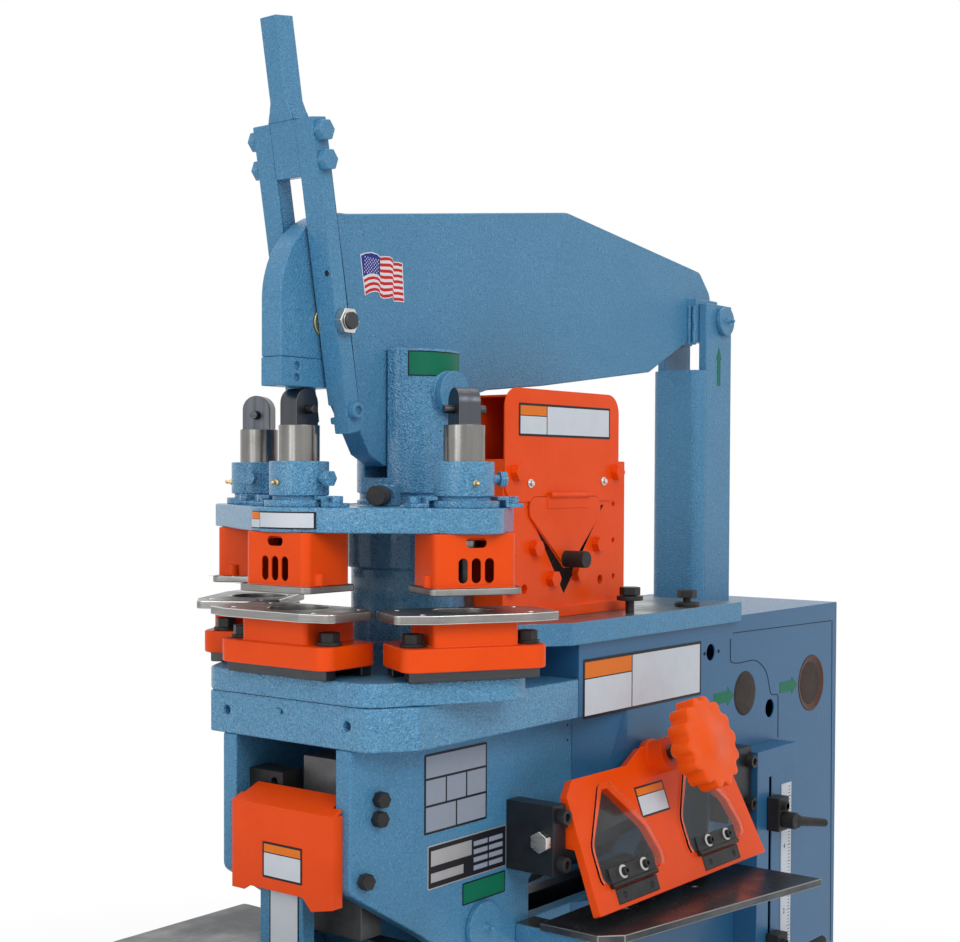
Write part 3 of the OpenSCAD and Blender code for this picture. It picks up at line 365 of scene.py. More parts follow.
# The faces lower than the node's top by more than a plate's thickness keep the finish of what carries it.
def underPlate(thick, finish):
    def chosen(centre, normal, low, high):
        return finish if centre.z < high.z - thick else None
    return chosen


def smallPart(wide, deep, finish):
    def chosen(centre, normal, low, high):
        return finish if high.x - low.x < wide and high.y - low.y < deep else None
    return chosen


def topFaces(centre, normal, low, high):
    return tableTop if normal.z > 0.9 else None


ramLook = {"shoulder": 1272.5, "pin": 15}  # height of the ram's shoulder, largest height of its cross pin


def ramFinish(centre, normal, low, high):
    if high.z - low.z < ramLook["pin"]:
        return darkSteel
    if centre.z > ramLook["shoulder"] + 0.3:
        return ramSteel
    return turnedSteel if high.z > ramLook["shoulder"] else darkSteel


greaseLook = {"under": 1215, "outside": 225, "tall": 9, "dieBolts": 1060, "longest": 20}


def boltFinish(centre, normal, low, high):
    if high.z < greaseLook["dieBolts"]:
        return blackOxide
    out = math.hypot((low.x + high.x) / 2, (low.y + high.y) / 2)
    nipple = high.z < greaseLook["under"] and out > greaseLook["outside"] and high.z - low.z < greaseLook["tall"]
    return brass if nipple else None


def fittingFinish(centre, normal, low, high):
    return brass if max(high - low) < greaseLook["longest"] else None


def frameBoltFinish(centre, normal, low, high):
    return zinc if high.x - low.x > 30 and high.z < 800 else None  # only the hold-down's pivot bolt


studLook = {"x": -172, "z": 1393, "radius": 10.2, "end": 59.7, "nut": 25}


def studFinish(centre, normal, low, high):
    if awayFrom(centre, studLook) < studLook["radius"] and abs(centre.y) > studLook["end"]:
        return darkSteel
    return zinc if abs(centre.y) > studLook["nut"] else brass


# The hold-down leans back, so its own face is a tilted plane through this frame.
tiltLook = {"y": -0.2115, "z": 0.766, "lean": 70}
tilt = (Matrix.Translation((0, tiltLook["y"], tiltLook["z"]))
        @ Matrix.Rotation(math.radians(tiltLook["lean"]), 4, "X"))
untilt = tilt.inverted()


def onTilt(x, up, out=0):
    return tilt @ Matrix.Translation(Vector((x, up, out)) * mm)


hingeLook = {"sheet": 3.6, "sheetEnd": -60.6, "leafEnd": -69, "middle": 292, "reach": 210}


def flapFinish(centre, normal, low, high):
    spot = untilt @ (centre * mm) / mm
    return clearPlastic if spot.z < hingeLook["sheet"] and spot.y > hingeLook["sheetEnd"] else None


def holdFinish(centre, normal, low, high):
    spot = untilt @ (centre * mm) / mm
    leaf = spot.z > 0.05 and spot.y < hingeLook["leafEnd"] and abs(centre.x - hingeLook["middle"]) < hingeLook["reach"]
    return blackOxide if leaf else None


knobLook = {"x": 190, "z": 1106, "radius": 11.5, "face": -111.3}


def knobFinish(centre, normal, low, high):
    return leverPlastic if centre.y < knobLook["face"] and awayFrom(centre, knobLook) < knobLook["radius"] else None


stripLook = {"face": -201.3, "x": (636.5, 669.5), "z": (449, 749)}


def scaleFinish(centre, normal, low, high):
    return labelWhite if centre.y < stripLook["face"] and inside(centre, stripLook) else None


throatLook = {"x": (112, 280), "z": (1062, 1176)}


def bladeInside(centre, normal, low, high):
    side = abs(normal.y) < 0.2 and abs(normal.x) > 0.5
    return darkSteel if side and inside(centre, throatLook) else None


plainLook = {  # each node's broken edge in mm, its finish and how faces choose
    "base_plate": (1.5, sheetPaint), "side_plates": (2.5, bluePaint), "bolster": (2.5, castPaint),
    "column": (1.5, castPaint), "casing": (1.2, sheetPaint), "top_table": (1.5, bluePaint, topFaces),
    "cross_beam": (1.0, bluePaint), "cylinder_barrel": (1.0, blackPaint), "power_unit": (1.5, blackPaint),
    "notcher_post": (1.5, bluePaint), "notcher_table": (1.0, plateSteel, underPlate(12.3, bluePaint)),
    "notcher_guard": (0.7, orangePaint), "guide_block": (0.8, blackOxide), "shear_blocks": (1.5, blackPaint),
    "feed_table": (1.2, millSteel, underPlate(10.3, bluePaint)), "upper_blade": (0.8, darkSteel),
    "angle_body": (1.0, orangePaint, bladeInside), "angle_guard": (0.8, orangePaint),
    "angle_bolts": (0.7, orangePaint, smallPart(14, 1000, zinc)), "switch_box": (1.0, sheetPaint, scaleFinish),
    "frame_bolts": (0.9, blackOxide, frameBoltFinish), "pivot_pins": (1.5, bluePaint, fittingFinish),
    "arm": (2.2, bluePaint), "nose_insert": (1.2, bluePaint), "yoke_stud": (0.8, darkSteel, studFinish),
    "yoke_straps": (1.6, bluePaint), "yoke_handle": (1.4, bluePaint), "yoke_bolts": (1.0, bluePaint),
    "link_plates": (1.5, bluePaint), "link_cover": (0.5, bluePaint), "link_pins": (1.5, bluePaint, fittingFinish),
    "beam": (1.5, bluePaint), "notcher_punch": (0.8, bladeSteel), "lower_blade": (0.8, darkSteel),
    "cylinder_rod": (0.8, hardChrome, aboveZ(576, darkSteel)), "angle_blade": (0.6, darkSteel),
    "angle_flap": (0.7, orangePaint, knobFinish), "hold_down": (1.2, orangePaint, holdFinish),
    "left_flap": (0.3, blackOxide, flapFinish), "right_flap": (0.3, blackOxide, flapFinish),
    "upper_clamp": (1.2, leverPlastic), "lower_clamp": (1.2, leverPlastic), "upper_lever": (1.5, leverPlastic),
    "lower_lever": (1.5, leverPlastic), "upper_turret_plate": (2.0, castPaint), "lower_turret_plate": (2.5, castPaint),
    "ram_housings": (1.2, castPaint), "turret_bolts": (0.8, castPaint, boltFinish),
    "strippers": (1.2, orangePaint, aboveZ(1088.4, None, groundSteel)),
    "die_tables": (1.0, groundSteel, smallPart(90, 90, darkSteel)),
    "die_holders": (2.0, orangePaint, aboveZ(994.9, None, darkSteel)), "index_plunger": (0.8, blackOxide),
    "front_ram": (0.8, turnedSteel, ramFinish), "left_ram": (0.8, turnedSteel, ramFinish),
    "right_ram": (0.8, turnedSteel, ramFinish),
}
edgeLook = {"die_tables": brightEdge, "feed_table": groundSteel, "notcher_table": groundSteel}
for name, (width, finish, *choose) in plainLook.items():
    finishNode(name, width, finish, choose[0] if choose else None, edgeLook.get(name))
for name, node in nodes.items():
    node.data.materials.clear()
    node.data.materials.append(finishOf[slotOf[name]])
print("frame dressed:", len(plainLook), "nodes")


# Node trees: built once, given their values by the name of each input, then turned into plain meshes.
def startTree(name, **inputs):
    tree = bpy.data.node_groups.new(name, "GeometryNodeTree")
    inputs = {"Geometry": ["Geometry"], "Material": ["Material"], **inputs}
    for kind, labels in inputs.items():
        for label in labels:
            tree.interface.new_socket(label, in_out="INPUT", socket_type="NodeSocket" + kind)
    tree.interface.new_socket("Geometry", in_out="OUTPUT", socket_type="NodeSocketGeometry")
    source = tree.nodes.new("NodeGroupInput")
    goal = tree.nodes.new("NodeGroupOutput")
    return tree, source.outputs, goal


def finishTree(tree, source, goal, geometry):
    whole = add(tree, "GeometryNodeRealizeInstances", {"Geometry": geometry})
    dyed = add(tree, "GeometryNodeSetMaterial", {"Geometry": whole, "Material": source["Material"]})
    tree.links.new(dyed, goal.inputs["Geometry"])
    return tree


def growTree(name, tree, values, mesh=None, place=Matrix()):
    obj = addObject(name, mesh or bpy.data.meshes.new(name))
    modifier = obj.modifiers.new("nodes", "NODES")
    modifier.node_group = tree
    for item in tree.interface.items_tree:
        if item.in_out == "INPUT" and item.name in values:
            modifier[item.identifier] = values[item.name]
    plainMesh(obj).data.transform(place)
    return obj


def swept(tree, source, path, wire, **more):
    ring = add(tree, "GeometryNodeCurvePrimitiveCircle", {"Resolution": source["Sides"], "Radius": source[wire]})
    inputs = {"Curve": path, "Profile Curve": ring, "Fill Caps": True, **more}
    return add(tree, "GeometryNodeCurveToMesh", inputs)


# A wire or ridge wound round Z.
def makeCoilTree():
    tree, source, goal = startTree("coil", Float=["Turns", "Radius", "Length", "Wire"], Int=["Steps", "Sides"])
    inputs = {"Resolution": source["Steps"], "Rotations": source["Turns"], "Start Radius": source["Radius"],
              "End Radius": source["Radius"], "Height": source["Length"]}
    spiral = add(tree, "GeometryNodeCurveSpiral", inputs)
    return finishTree(tree, source, goal, swept(tree, source, spiral, "Wire"))


# A round bead along the edges of a mesh, thicker and thinner in turns as a laid weld is.
def makeBeadTree():
    tree, source, goal = startTree("bead", Float=["Radius", "Wave", "Pitch"], Int=["Sides"])
    path = add(tree, "GeometryNodeMeshToCurve", {"Mesh": source["Geometry"]})
    path = add(tree, "GeometryNodeResampleCurve", {"Curve": path, "Length": source["Pitch"]}, mode="LENGTH")
    way = addNode(tree, "GeometryNodeSplineParameter").outputs["Length"]
    swing = maths(tree, "SINE", maths(tree, "MULTIPLY", way, 1400.0))
    size = maths(tree, "ADD", maths(tree, "MULTIPLY", swing, source["Wave"]), 1.0)
    return finishTree(tree, source, goal, swept(tree, source, path, "Radius", Scale=size))


# Copies of a block in a straight row, the first and then one in so many longer.
def makeRowTree():
    tree, source, goal = startTree("row", Int=["Count", "Long Every"], Vector=["Step", "Size"], Float=["Long"])
    line = add(tree, "GeometryNodeMeshLine", {"Count": source["Count"], "Offset": source["Step"]}, mode="OFFSET")
    block = add(tree, "GeometryNodeMeshCube", {"Size": source["Size"]})
    number = add(tree, "GeometryNodeInputIndex", {})
    whole = maths(tree, "LESS_THAN", maths(tree, "MODULO", number, source["Long Every"]), 0.5)
    more = maths(tree, "MULTIPLY_ADD", whole, source["Long"], 1.0)
    size = add(tree, "ShaderNodeCombineXYZ", {"X": more, "Y": 1.0, "Z": 1.0})
    inputs = {"Points": line, "Instance": block, "Scale": size}
    return finishTree(tree, source, goal, add(tree, "GeometryNodeInstanceOnPoints", inputs))


# Five-pointed stars on a grid of rows and columns.
def makeStarTree():
    tree, source, goal = startTree("stars", Int=["Columns", "Rows"], Float=["Width", "Height", "Radius"])
    grid = add(tree, "GeometryNodeMeshGrid", {"Size X": source["Width"], "Size Y": source["Height"],
                                              "Vertices X": source["Columns"], "Vertices Y": source["Rows"]})
    star = add(tree, "GeometryNodeCurveStar", {"Points": 5, "Inner Radius": 0.4, "Outer Radius": 1.0})
    flat = add(tree, "GeometryNodeFillCurve", {"Curve": star})
    raised = add(tree, "GeometryNodeExtrudeMesh", {"Mesh": flat, "Offset Scale": 0.1, "Individual": False})
    both = addNode(tree, "GeometryNodeJoinGeometry", {"Geometry": raised})
    tree.links.new(add(tree, "GeometryNodeFlipFaces", {"Mesh": flat}), both.inputs["Geometry"])
    solid = add(tree, "GeometryNodeMergeByDistance", {"Geometry": both.outputs[0], "Distance": 0.001})
    inputs = {"Points": grid, "Instance": solid, "Scale": source["Radius"]}
    return finishTree(tree, source, goal, add(tree, "GeometryNodeInstanceOnPoints", inputs))


coilTree, beadTree, rowTree = makeCoilTree(), makeBeadTree(), makeRowTree()


def addCoil(name, node, place, turns, radius, length, wire, steps, finish):
    values = {"Turns": turns, "Radius": radius * mm, "Length": length * mm, "Wire": wire * mm, "Steps": steps,
              "Sides": 8, "Material": finish}
    addPart(smoothMesh(growTree(name, coilTree, values, place=place), 60), node)


def pathMesh(name, points):
    mesh = bpy.data.meshes.new(name)
    edges = [(i, i + 1) for i in range(len(points) - 1)]
    mesh.from_pydata([Vector(p) * mm for p in points], edges, [])
    return mesh


def addBead(name, node, points, look):
    values = {"Radius": look["radius"] * mm, "Wave": look["wave"], "Pitch": look["pitch"] * mm,
              "Sides": look["sides"], "Material": look["finish"]}
    return addPart(smoothMesh(growTree(name, beadTree, values, pathMesh(name + "_path", points)), 70), node)


# Thin closed plates: outlines in millimetres on a face, each given its level, its thickness and its finish.
def faceFrame(across, up, origin=(0, 0, 0)):
    across, up = Vector(across), Vector(up)
    out = across.cross(up)
    frameMatrix = Matrix((across, up, out)).transposed().to_4x4()
    return Matrix.Translation(Vector(origin) * mm) @ frameMatrix


def rectangle(x0, x1, y0, y1, corner=0.0):
    if not corner:
        return [(x0, y0), (x1, y0), (x1, y1), (x0, y1)]
    points = []
    for cx, cy, start in ((x1 - corner, y0 + corner, -90), (x1 - corner, y1 - corner, 0),
                          (x0 + corner, y1 - corner, 90), (x0 + corner, y0 + corner, 180)):
        for step in range(5):
            turn = math.radians(start + step * 22.5)
            points.append((cx + corner * math.cos(turn), cy + corner * math.sin(turn)))
    return points


# Faces between each loop of corners and the next; a loop of one corner is a tip.
def stitch(work, loops, sides):
    faces = []
    for below, above in zip(loops, loops[1:]):
        for i in range(sides):
            j = (i + 1) % sides
            corners = [below[i % len(below)], below[j % len(below)], above[j % len(above)], above[i % len(above)]]
            corners = list(dict.fromkeys(corners))
            if len(corners) > 2:
                faces.append(work.faces.new(corners))
    return faces


# Closed solids, each a finish and its loops of corners in millimetres, as one piece.
def addSolids(name, node, solids, place=None):
    work = bmesh.new()
    finishes = list(dict.fromkeys(finish for finish, loops in solids))
    for finish, loops in solids:
        loops = [[work.verts.new((x * mm, y * mm, z * mm)) for x, y, z in loop] for loop in loops]
        faces = [work.faces.new(loops[-1]), work.faces.new(loops[0][::-1])]
        for face in faces + stitch(work, loops, len(loops[0])):
            face.material_index = finishes.index(finish)
    return addPart(addObject(name, meshFrom(work, name, finishes, place)), node)


def addSheet(name, node, place, layers):
    solids = [(finish, [[(x, y, z) for x, y in outline] for z in (level, level + thick)])
              for outline, level, thick, finish in layers]
    addSolids(name, node, solids, place)


def lathe(name, profile, matrix, material, node, sides=32):
    work = bmesh.new()
    turns = [2 * math.pi * i / sides for i in range(sides)]
    rings = []
    for radius, height in profile:
        radius *= mm
        ring = [(radius * math.cos(t), radius * math.sin(t)) for t in turns] if radius else [(0, 0)]
        rings.append([work.verts.new((x, y, height * mm)) for x, y in ring])
    stitch(work, rings, sides)
    bmesh.ops.remove_doubles(work, verts=work.verts, dist=1e-7)
    return addPart(smoothMesh(addObject(name, meshFrom(work, name, [material], matrix)), 35), node)


def frontFace(y, x=0, z=0):
    return faceFrame((1, 0, 0), (0, 0, 1), (x, y, z))


def leftFace(x, y=0, z=0):
    return faceFrame((0, -1, 0), (0, 0, 1), (x, y, z))


# The clamp screw: a plain end, a core with a wound thread, and the length that stands in the wheel.
screwLook = {"centre": (300, 74), "core": 8.4, "crest": 10.0, "wire": 1.25, "pitch": 4.0, "back": -19,
             "start": 24, "wheel": 62, "end": 92.4, "thread": 28}


def makeClampScrew(look):
    profile = [(0, look["back"]), (look["crest"] - 1, look["back"]), (look["crest"], look["back"] + 1),
               (look["crest"], look["start"]), (look["core"], look["start"] + 1.4), (look["core"], look["wheel"] - 2),
               (7, look["wheel"] - 1), (7, look["end"] - 1), (6, look["end"]), (0, look["end"])]
    core = lathe("clampScrewCore", profile, onTilt(*look["centre"]), darkSteel, "clamp_screw")
    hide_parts("clamp_screw")
    length = look["wheel"] - look["start"] - 7
    addCoil("clampScrewThread", "clamp_screw", onTilt(*look["centre"], look["thread"]), length / look["pitch"],
            look["core"], length, look["wire"], 28, groundSteel)


makeClampScrew(screwLook)

# The handwheel: round lobes with a rolled edge, a shallow hub on its face and a blind middle.
wheelLook = {"centre": (300, 74), "lobes": 14, "across": 124, "lobe": 9, "waist": 6.4, "level": 62, "thick": 30,
             "edge": 2.6, "steps": 14}


def wheelReach(turn, look):
    half = look["across"] / 2
    step = 2 * math.pi / look["lobes"]
    off = (turn + step / 2) % step - step / 2
    middle = half - look["lobe"]
    lobe = middle * math.cos(off) + math.sqrt(max(look["lobe"] ** 2 - (middle * math.sin(off)) ** 2, 0))
    return max(lobe, half - look["waist"])


def makeHandwheel(look):
    count = look["lobes"] * look["steps"]
    turns = [2 * math.pi * i / count for i in range(count)]
    reach = [wheelReach(t, look) for t in turns]
    reach = [(reach[i - 1] + 2 * reach[i] + reach[(i + 1) % count]) / 4 for i in range(count)]
    thick, edge = look["thick"], look["edge"]
    rings = [(None, 8, 0.0), (None, 20, 0.0), (edge + 4, None, 0.0), (edge, None, 0.0), (edge * 0.3, None, edge * 0.3),
             (0, None, edge), (0, None, thick - edge), (edge * 0.3, None, thick - edge * 0.3), (edge, None, thick),
             (edge + 5, None, thick), (None, 19, thick), (None, 17.5, thick + 0.9), (None, 6, thick + 1.1)]
    work = bmesh.new()
    loops = []
    for inset, radius, level in rings:  # a ring follows the lobes, set in, or is round
        loop = [(radius or far - inset, turn) for far, turn in zip(reach, turns)]
        loops.append([work.verts.new((r * math.cos(t) * mm, r * math.sin(t) * mm, level * mm)) for r, t in loop])
    stitch(work, loops, count)
    work.faces.new(loops[0][::-1])
    work.faces.new(loops[-1])
    mesh = meshFrom(work, "handwheel", [wheelPlastic], onTilt(*look["centre"], look["level"]))
    wheel = smoothMesh(addObject("lobedHandwheel", mesh), 32)
    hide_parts("handwheel")
    return addPart(wheel, "handwheel")


makeHandwheel(wheelLook)

# Screws that hold each clear flap to its hinge: a washer under a socket head, its pale colour a painted highlight.
flapScrews = {"starts": {"left_flap": 114, "right_flap": 328}, "along": (30, 79), "up": -52,
              "washer": [(0, 4.9), (8.5, 4.9), (8.5, 6.2), (0, 6.3)],
              "head": [(0, 6), (5.6, 6), (5.6, 11.4), (5.0, 12), (3.0, 12), (2.8, 9), (0, 9)]}
for flap, start in flapScrews["starts"].items():
    for i, along in enumerate(flapScrews["along"]):
        place = onTilt(start + along, flapScrews["up"])
        lathe("%sWasher%d" % (flap, i), flapScrews["washer"], place, washerHighlight, flap)
        lathe("%sScrew%d" % (flap, i), flapScrews["head"], place, blackOxide, flap, sides=24)

# The index plunger keeps its pin and knob and gets the spring that pushes it home.
plungerLook = {"turn": 206, "from": 99, "to": 121, "radius": 8.2, "wire": 1.2, "turns": 6}


def makePlungerSpring(look):
    low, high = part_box("index_plunger")
    level = (low[2] + high[2]) / 2
    place = (Matrix.Translation((0, 0, level)) @ Matrix.Rotation(math.radians(look["turn"]), 4, "Z")
             @ Matrix.Translation((look["from"] * mm, 0, 0)) @ Matrix.Rotation(math.radians(90), 4, "Y"))
    addCoil("plungerSpring", "index_plunger", place, look["turns"], look["radius"], look["to"] - look["from"],
            look["wire"], 24, blackOxide)


makePlungerSpring(plungerLook)
print("screw and spring made")


# Plates, stickers and marks: every field is a plain sheet with no words.
def bordered(x0, x1, y0, y1, edge, border, field, corner=0.0):
    inner = max(corner - edge, 0)
    return [(rectangle(x0, x1, y0, y1, corner), 0.0, 0.5, border),
            (rectangle(x0 + edge, x1 - edge, y0 + edge, y1 - edge, inner), 0.2, 0.38, field)]


def cell(x0, x1, y0, y1, material, lift=0.3):
    return (rectangle(x0, x1, y0, y1), lift, 0.38, material)


casingFace, plateFace = -163, -120  # where the casing's front and the front side plate stand in Y
capacityPlate = {"x": (-109, 10), "z": (793, 888), "header": 0.30, "middle": 0.52, "gap": 2.8}


def addCapacityPlate(look):
    x0, x1 = look["x"]
    z0, z1 = look["z"]
    gap = look["gap"]
    layers = [(rectangle(x0, x1, z0, z1, 2), 0.0, 0.5, labelBlack)]
    high = z1 - (z1 - z0) * look["header"]
    middle = z0 + (high - z0) * look["middle"]
    for count, low, top in ((1, high, z1), (3, middle, high), (2, z0 + gap, middle)):
        wide = (x1 - x0 - gap) / count
        for i in range(count):
            layers.append(cell(x0 + gap + i * wide, x0 + (i + 1) * wide, low, top - gap, labelGrey))
    addSheet("capacityPlate", "side_plates", frontFace(plateFace), layers)


dataPlate = {"x": (-103, 50), "z": (726.5, 779), "edge": 1.6, "split": 0.57, "columns": 2, "rows": 4,
             "sides": (6, 5), "ends": (7, 6)}


def addDataPlate(look):
    x0, x1 = look["x"]
    z0, z1 = look["z"]
    tall = z1 - z0
    (inset, right), (foot, head) = look["sides"], look["ends"]
    layers = bordered(x0, x1, z0, z1, look["edge"], labelSilver, labelBlack, 3)
    left = x0 + (x1 - x0) * look["split"]
    layers.append(cell(x0 + inset, left - 4, z0 + tall * 0.52, z1 - 7, labelSilver, 0.35))
    layers.append(cell(x0 + inset, left - 20, z0 + 8, z0 + tall * 0.36, labelSilver, 0.35))
    wide, high = (x1 - left - right) / look["columns"], (tall - foot - head) / look["rows"]
    for column in range(look["columns"]):
        for row in range(look["rows"]):
            start, low = left + column * wide, z0 + foot + row * high
            layers.append(cell(start, start + wide - 3, low, low + high - 4, labelGrey, 0.35))
    addSheet("dataPlate", "side_plates", frontFace(plateFace), layers)


# A sheet with an orange head over a pale field, and beside them, where "left" is given, one more pale field.
def addNotice(name, node, place, look):
    x0, x1, y0, y1 = look["at"]
    edge = look["edge"]
    layers = [(rectangle(x0, x1, y0, y1, 1.5), 0.0, 0.45, labelBlack)]
    inX0, inX1, inY0, inY1 = x0 + edge, x1 - edge, y0 + edge, y1 - edge
    split = inX0 + (inX1 - inX0) * look.get("left", 1.0)
    level = inY1 - (inY1 - inY0) * look["head"]
    gap = edge * (0.4 if "left" in look else 0.5)
    layers.append(cell(inX0, split, level, inY1, labelOrange, 0.2))
    layers.append(cell(inX0, split, inY0, level - gap, labelWhite, 0.2))
    if "left" in look:
        layers.append(cell(split + edge * 0.6, inX1, inY0, inY1, labelWhite, 0.2))
    addSheet(name, node, place, layers)


def arrowOutline(long, wide, shaft):
    half, neck = long / 2, long * 0.18
    return [(-half, -shaft / 2), (neck, -shaft / 2), (neck, -wide / 2), (half, 0),
            (neck, wide / 2), (neck, shaft / 2), (-half, shaft / 2)]


notices = {
    "casingNotice": ("casing", frontFace(casingFace),
                     {"at": (156, 457, 901.5, 979), "left": 0.38, "head": 0.30, "edge": 4.0}),
    "guardNotice": ("angle_guard", frontFace(-111),
                    {"at": (85, 294, 1266, 1308), "left": 0.28, "head": 0.34, "edge": 3.0}),
    "notcherNotice": ("notcher_guard", leftFace(-236), {"at": (-18, 46, 748, 790), "head": 0.25, "edge": 2.6}),
    "clampNotice": ("hold_down", tilt, {"at": (226, 296, 3, 43.5), "head": 0.26, "edge": 2.6}),
}
for name, values in notices.items():
    addNotice(name, *values)
addCapacityPlate(capacityPlate)
addDataPlate(dataPlate)
strips = {
    "greenNotice": ("side_plates", frontFace(plateFace), (-37, 48, 694.3, 721.5), labelGreen, 1.5),
    "postStrip": ("notcher_post", leftFace(-224), (-18.5, 29, 640, 737), labelWhite, 0.0),
}
for name, (node, place, span, field, corner) in strips.items():
    addSheet(name, node, place, bordered(*span, 1.8, labelBlack, field, corner))
arrows = {
    "linkArrow": ("link_plates", faceFrame((0, 0, 1), (-1, 0, 0), (712, -45, 1393)), (62, 17, 10)),
    "casingArrowLeft": ("casing", frontFace(casingFace, 525.5, 890), (60, 28, 17)),
    "casingArrowRight": ("casing", frontFace(casingFace, 733.5, 885), (60, 28, 17)),
}
for name, (node, place, sizes) in arrows.items():
    addSheet(name, node, place, [(arrowOutline(*sizes), 0.0, 0.4, labelGreen)])
print("plates and stickers made")


# A sheet bent round an upright outline: fields are given by their run along it and their height.
def addWrap(name, node, path, fields):
    points = [Vector(p) for p in path]
    run = [0.0]
    for a, b in zip(points, points[1:]):
        run.append(run[-1] + (b - a).length)

    def spot(s, lift):
        i = min(max(k for k in range(len(run)) if run[k] <= s + 1e-9), len(points) - 2)
        ahead = (points[i + 1] - points[i]).normalized()
        return points[i] + ahead * (s - run[i]) + Vector((ahead.y, -ahead.x)) * lift

    solids = []
    for s0, s1, z0, z1, lift, thick, finish in fields:
        rows = []
        for s in sorted({s0, s1, *[r for r in run if s0 < r < s1]}):
            inner, outer = spot(s, lift), spot(s, lift + thick)
            rows.append([(*inner, z0), (*outer, z0), (*outer, z1), (*inner, z1)])
        solids.append((finish, rows))
    smoothMesh(addSolids(name, node, solids), 30)


def arc(x, radius, start, end, steps):
    turns = [math.radians(start + (end - start) * i / steps) for i in range(steps + 1)]
    return [(x + radius * math.cos(t), radius * math.sin(t)) for t in turns]


turretNotice = {
    "nose": (-144.3, 95), "turn": (152.8, 210), "tail": (-222.3, -54.9),
    "fields": [(0, 103, 1153, 1173, 0.05, 0.4, labelBlack), (0.6, 23, 1164, 1172, 0.25, 0.35, labelOrange),
               (0.6, 23, 1154.2, 1163.4, 0.25, 0.35, labelWhite), (24, 100, 1154.8, 1171.4, 0.25, 0.35, labelWhite)]}
noseX, noseRadius = turretNotice["nose"]
nosePath = arc(noseX, noseRadius, *turretNotice["turn"], 20) + [turretNotice["tail"]]
addWrap("turretNotice", "upper_turret_plate", nosePath, turretNotice["fields"])
columnNotice = {
    "radius": 65, "turn": (220, 298),
    "fields": [(0, 88.4, 1337, 1368, 0.05, 0.3, labelBlack), (1.6, 86.8, 1338.6, 1366.4, 0.2, 0.3, labelGreen)]}
addWrap("columnNotice", "column", arc(0, columnNotice["radius"], *columnNotice["turn"], 26), columnNotice["fields"])

# The flag sticker: the top and the foot of each column, cut across into stripes and a canton.
flagLook = {
    "x": ((-107.0, -98.7), (-98.5, -91.2), (-88.5, -83.3), (-78.4, -76.1), (-72.6, -73.6), (-71.2, -72.2),
          (-63.9, -66.6), (-55.0, -57.1), (-49.8, -49.4), (-47.6, -47.1), (-40.1, -38.5), (-32.3, -28.7)),
    "z": ((1478.9, 1432.9), (1482.3, 1437.0), (1484.1, 1439.2), (1483.2, 1439.4), (1480.4, 1437.7), (1480.6, 1434.0),
          (1481.9, 1432.1), (1482.7, 1433.4), (1480.6, 1435.7), (1476.9, 1430.5), (1477.8, 1431.3), (1477.2, 1431.2)),
    "face": -16, "canton": 4, "stripes": 13, "blue": 7, "rim": 1.3,
    "grids": ((6, 5), (5, 4)), "pitch": (4.8, 4.6), "star": 1.25, "stars": (-88.2, 1468.6), "lean": -3}


def makeFlag(look):
    columns = [(Vector((x0, z0)), Vector((x1, z1))) for (x0, x1), (z0, z1) in zip(look["x"], look["z"])]
    rim = look["rim"]
    aside = [-rim] + [0] * (len(columns) - 2) + [rim]
    tops = [a + Vector((x, rim)) for x, (a, b) in zip(aside, columns)]
    bottoms = [b + Vector((x, -rim)) for x, (a, b) in zip(aside, columns)]
    layers = []

    def band(first, last, high, low, level, material):
        for i in range(first, last):
            (a, b), (c, d) = columns[i], columns[i + 1]
            quad = [a.lerp(b, low), c.lerp(d, low), c.lerp(d, high), a.lerp(b, high)]
            layers.append((quad, level, 0.22, material))

    for i in range(len(columns) - 1):
        layers.append(([bottoms[i], bottoms[i + 1], tops[i + 1], tops[i]], 0.0, 0.3, flagWhite))
    count, canton = look["stripes"], look["canton"]
    for k in range(0, count, 2):
        first = canton if k < look["blue"] else 0
        band(first, len(columns) - 1, k / count, (k + 1) / count, 0.2, flagRed)
    band(0, canton, 0.0, look["blue"] / count, 0.22, flagBlue)
    addSheet("flagSticker", "arm", frontFace(look["face"]), layers)
    starTree = makeStarTree()
    for across, down in look["grids"]:
        wide, tall = look["pitch"]
        values = {"Columns": across, "Rows": down, "Width": (across - 1) * wide * mm, "Height": (down - 1) * tall * mm,
                  "Radius": look["star"] * mm, "Material": flagWhite}
        place = frontFace(look["face"] - 0.38, *look["stars"]) @ Matrix.Rotation(math.radians(look["lean"]), 4, "Z")
        addPart(growTree("flagStars%d" % across, starTree, values, place=place), "arm")


makeFlag(flagLook)

# The scale beside the clamps: a tick at every step, every fifth one longer, and numbers.
scaleLook = {"x": 669, "z": (452, 742), "face": -202, "step": 5.0, "tick": 5.5, "thick": 0.9, "every": 10, "size": 11}


def makeScale(look):
    x, (z0, z1) = look["x"], look["z"]
    count = int((z1 - z0) / look["step"]) + 1
    values = {"Count": count, "Step": (0, 0, look["step"] * mm),
              "Size": (look["tick"] * mm, 0.0004, look["thick"] * mm),
              "Long Every": 5, "Long": 0.9, "Material": labelBlack}
    place = Matrix.Translation(((x - 7) * mm, look["face"] * mm, z0 * mm))
    addPart(growTree("scaleTicks", rowTree, values, place=place), "switch_box")
    for i in range(0, count, look["every"]):
        words = bpy.data.curves.new("scaleNumber%d" % i, "FONT")
        words.body = str(i // look["every"])
        words.size = look["size"] * mm
        words.extrude = 0.0002
        words.align_x, words.align_y = "CENTER", "CENTER"
        source = addObject("scaleText", words)
        mesh = shownMesh(source)
        bpy.data.objects.remove(source)
        work = bmesh.new()
        work.from_mesh(mesh)
        bmesh.ops.remove_doubles(work, verts=work.verts, dist=1e-6)
        work.to_mesh(mesh)
        work.free()
        mesh.transform(frontFace(look["face"] - 0.1, x - 22, z0 + i * look["step"]))
        addPart(addObject("scaleNumber%d" % i, mesh, labelBlack), "switch_box")


makeScale(scaleLook)
print("flag and scale made")

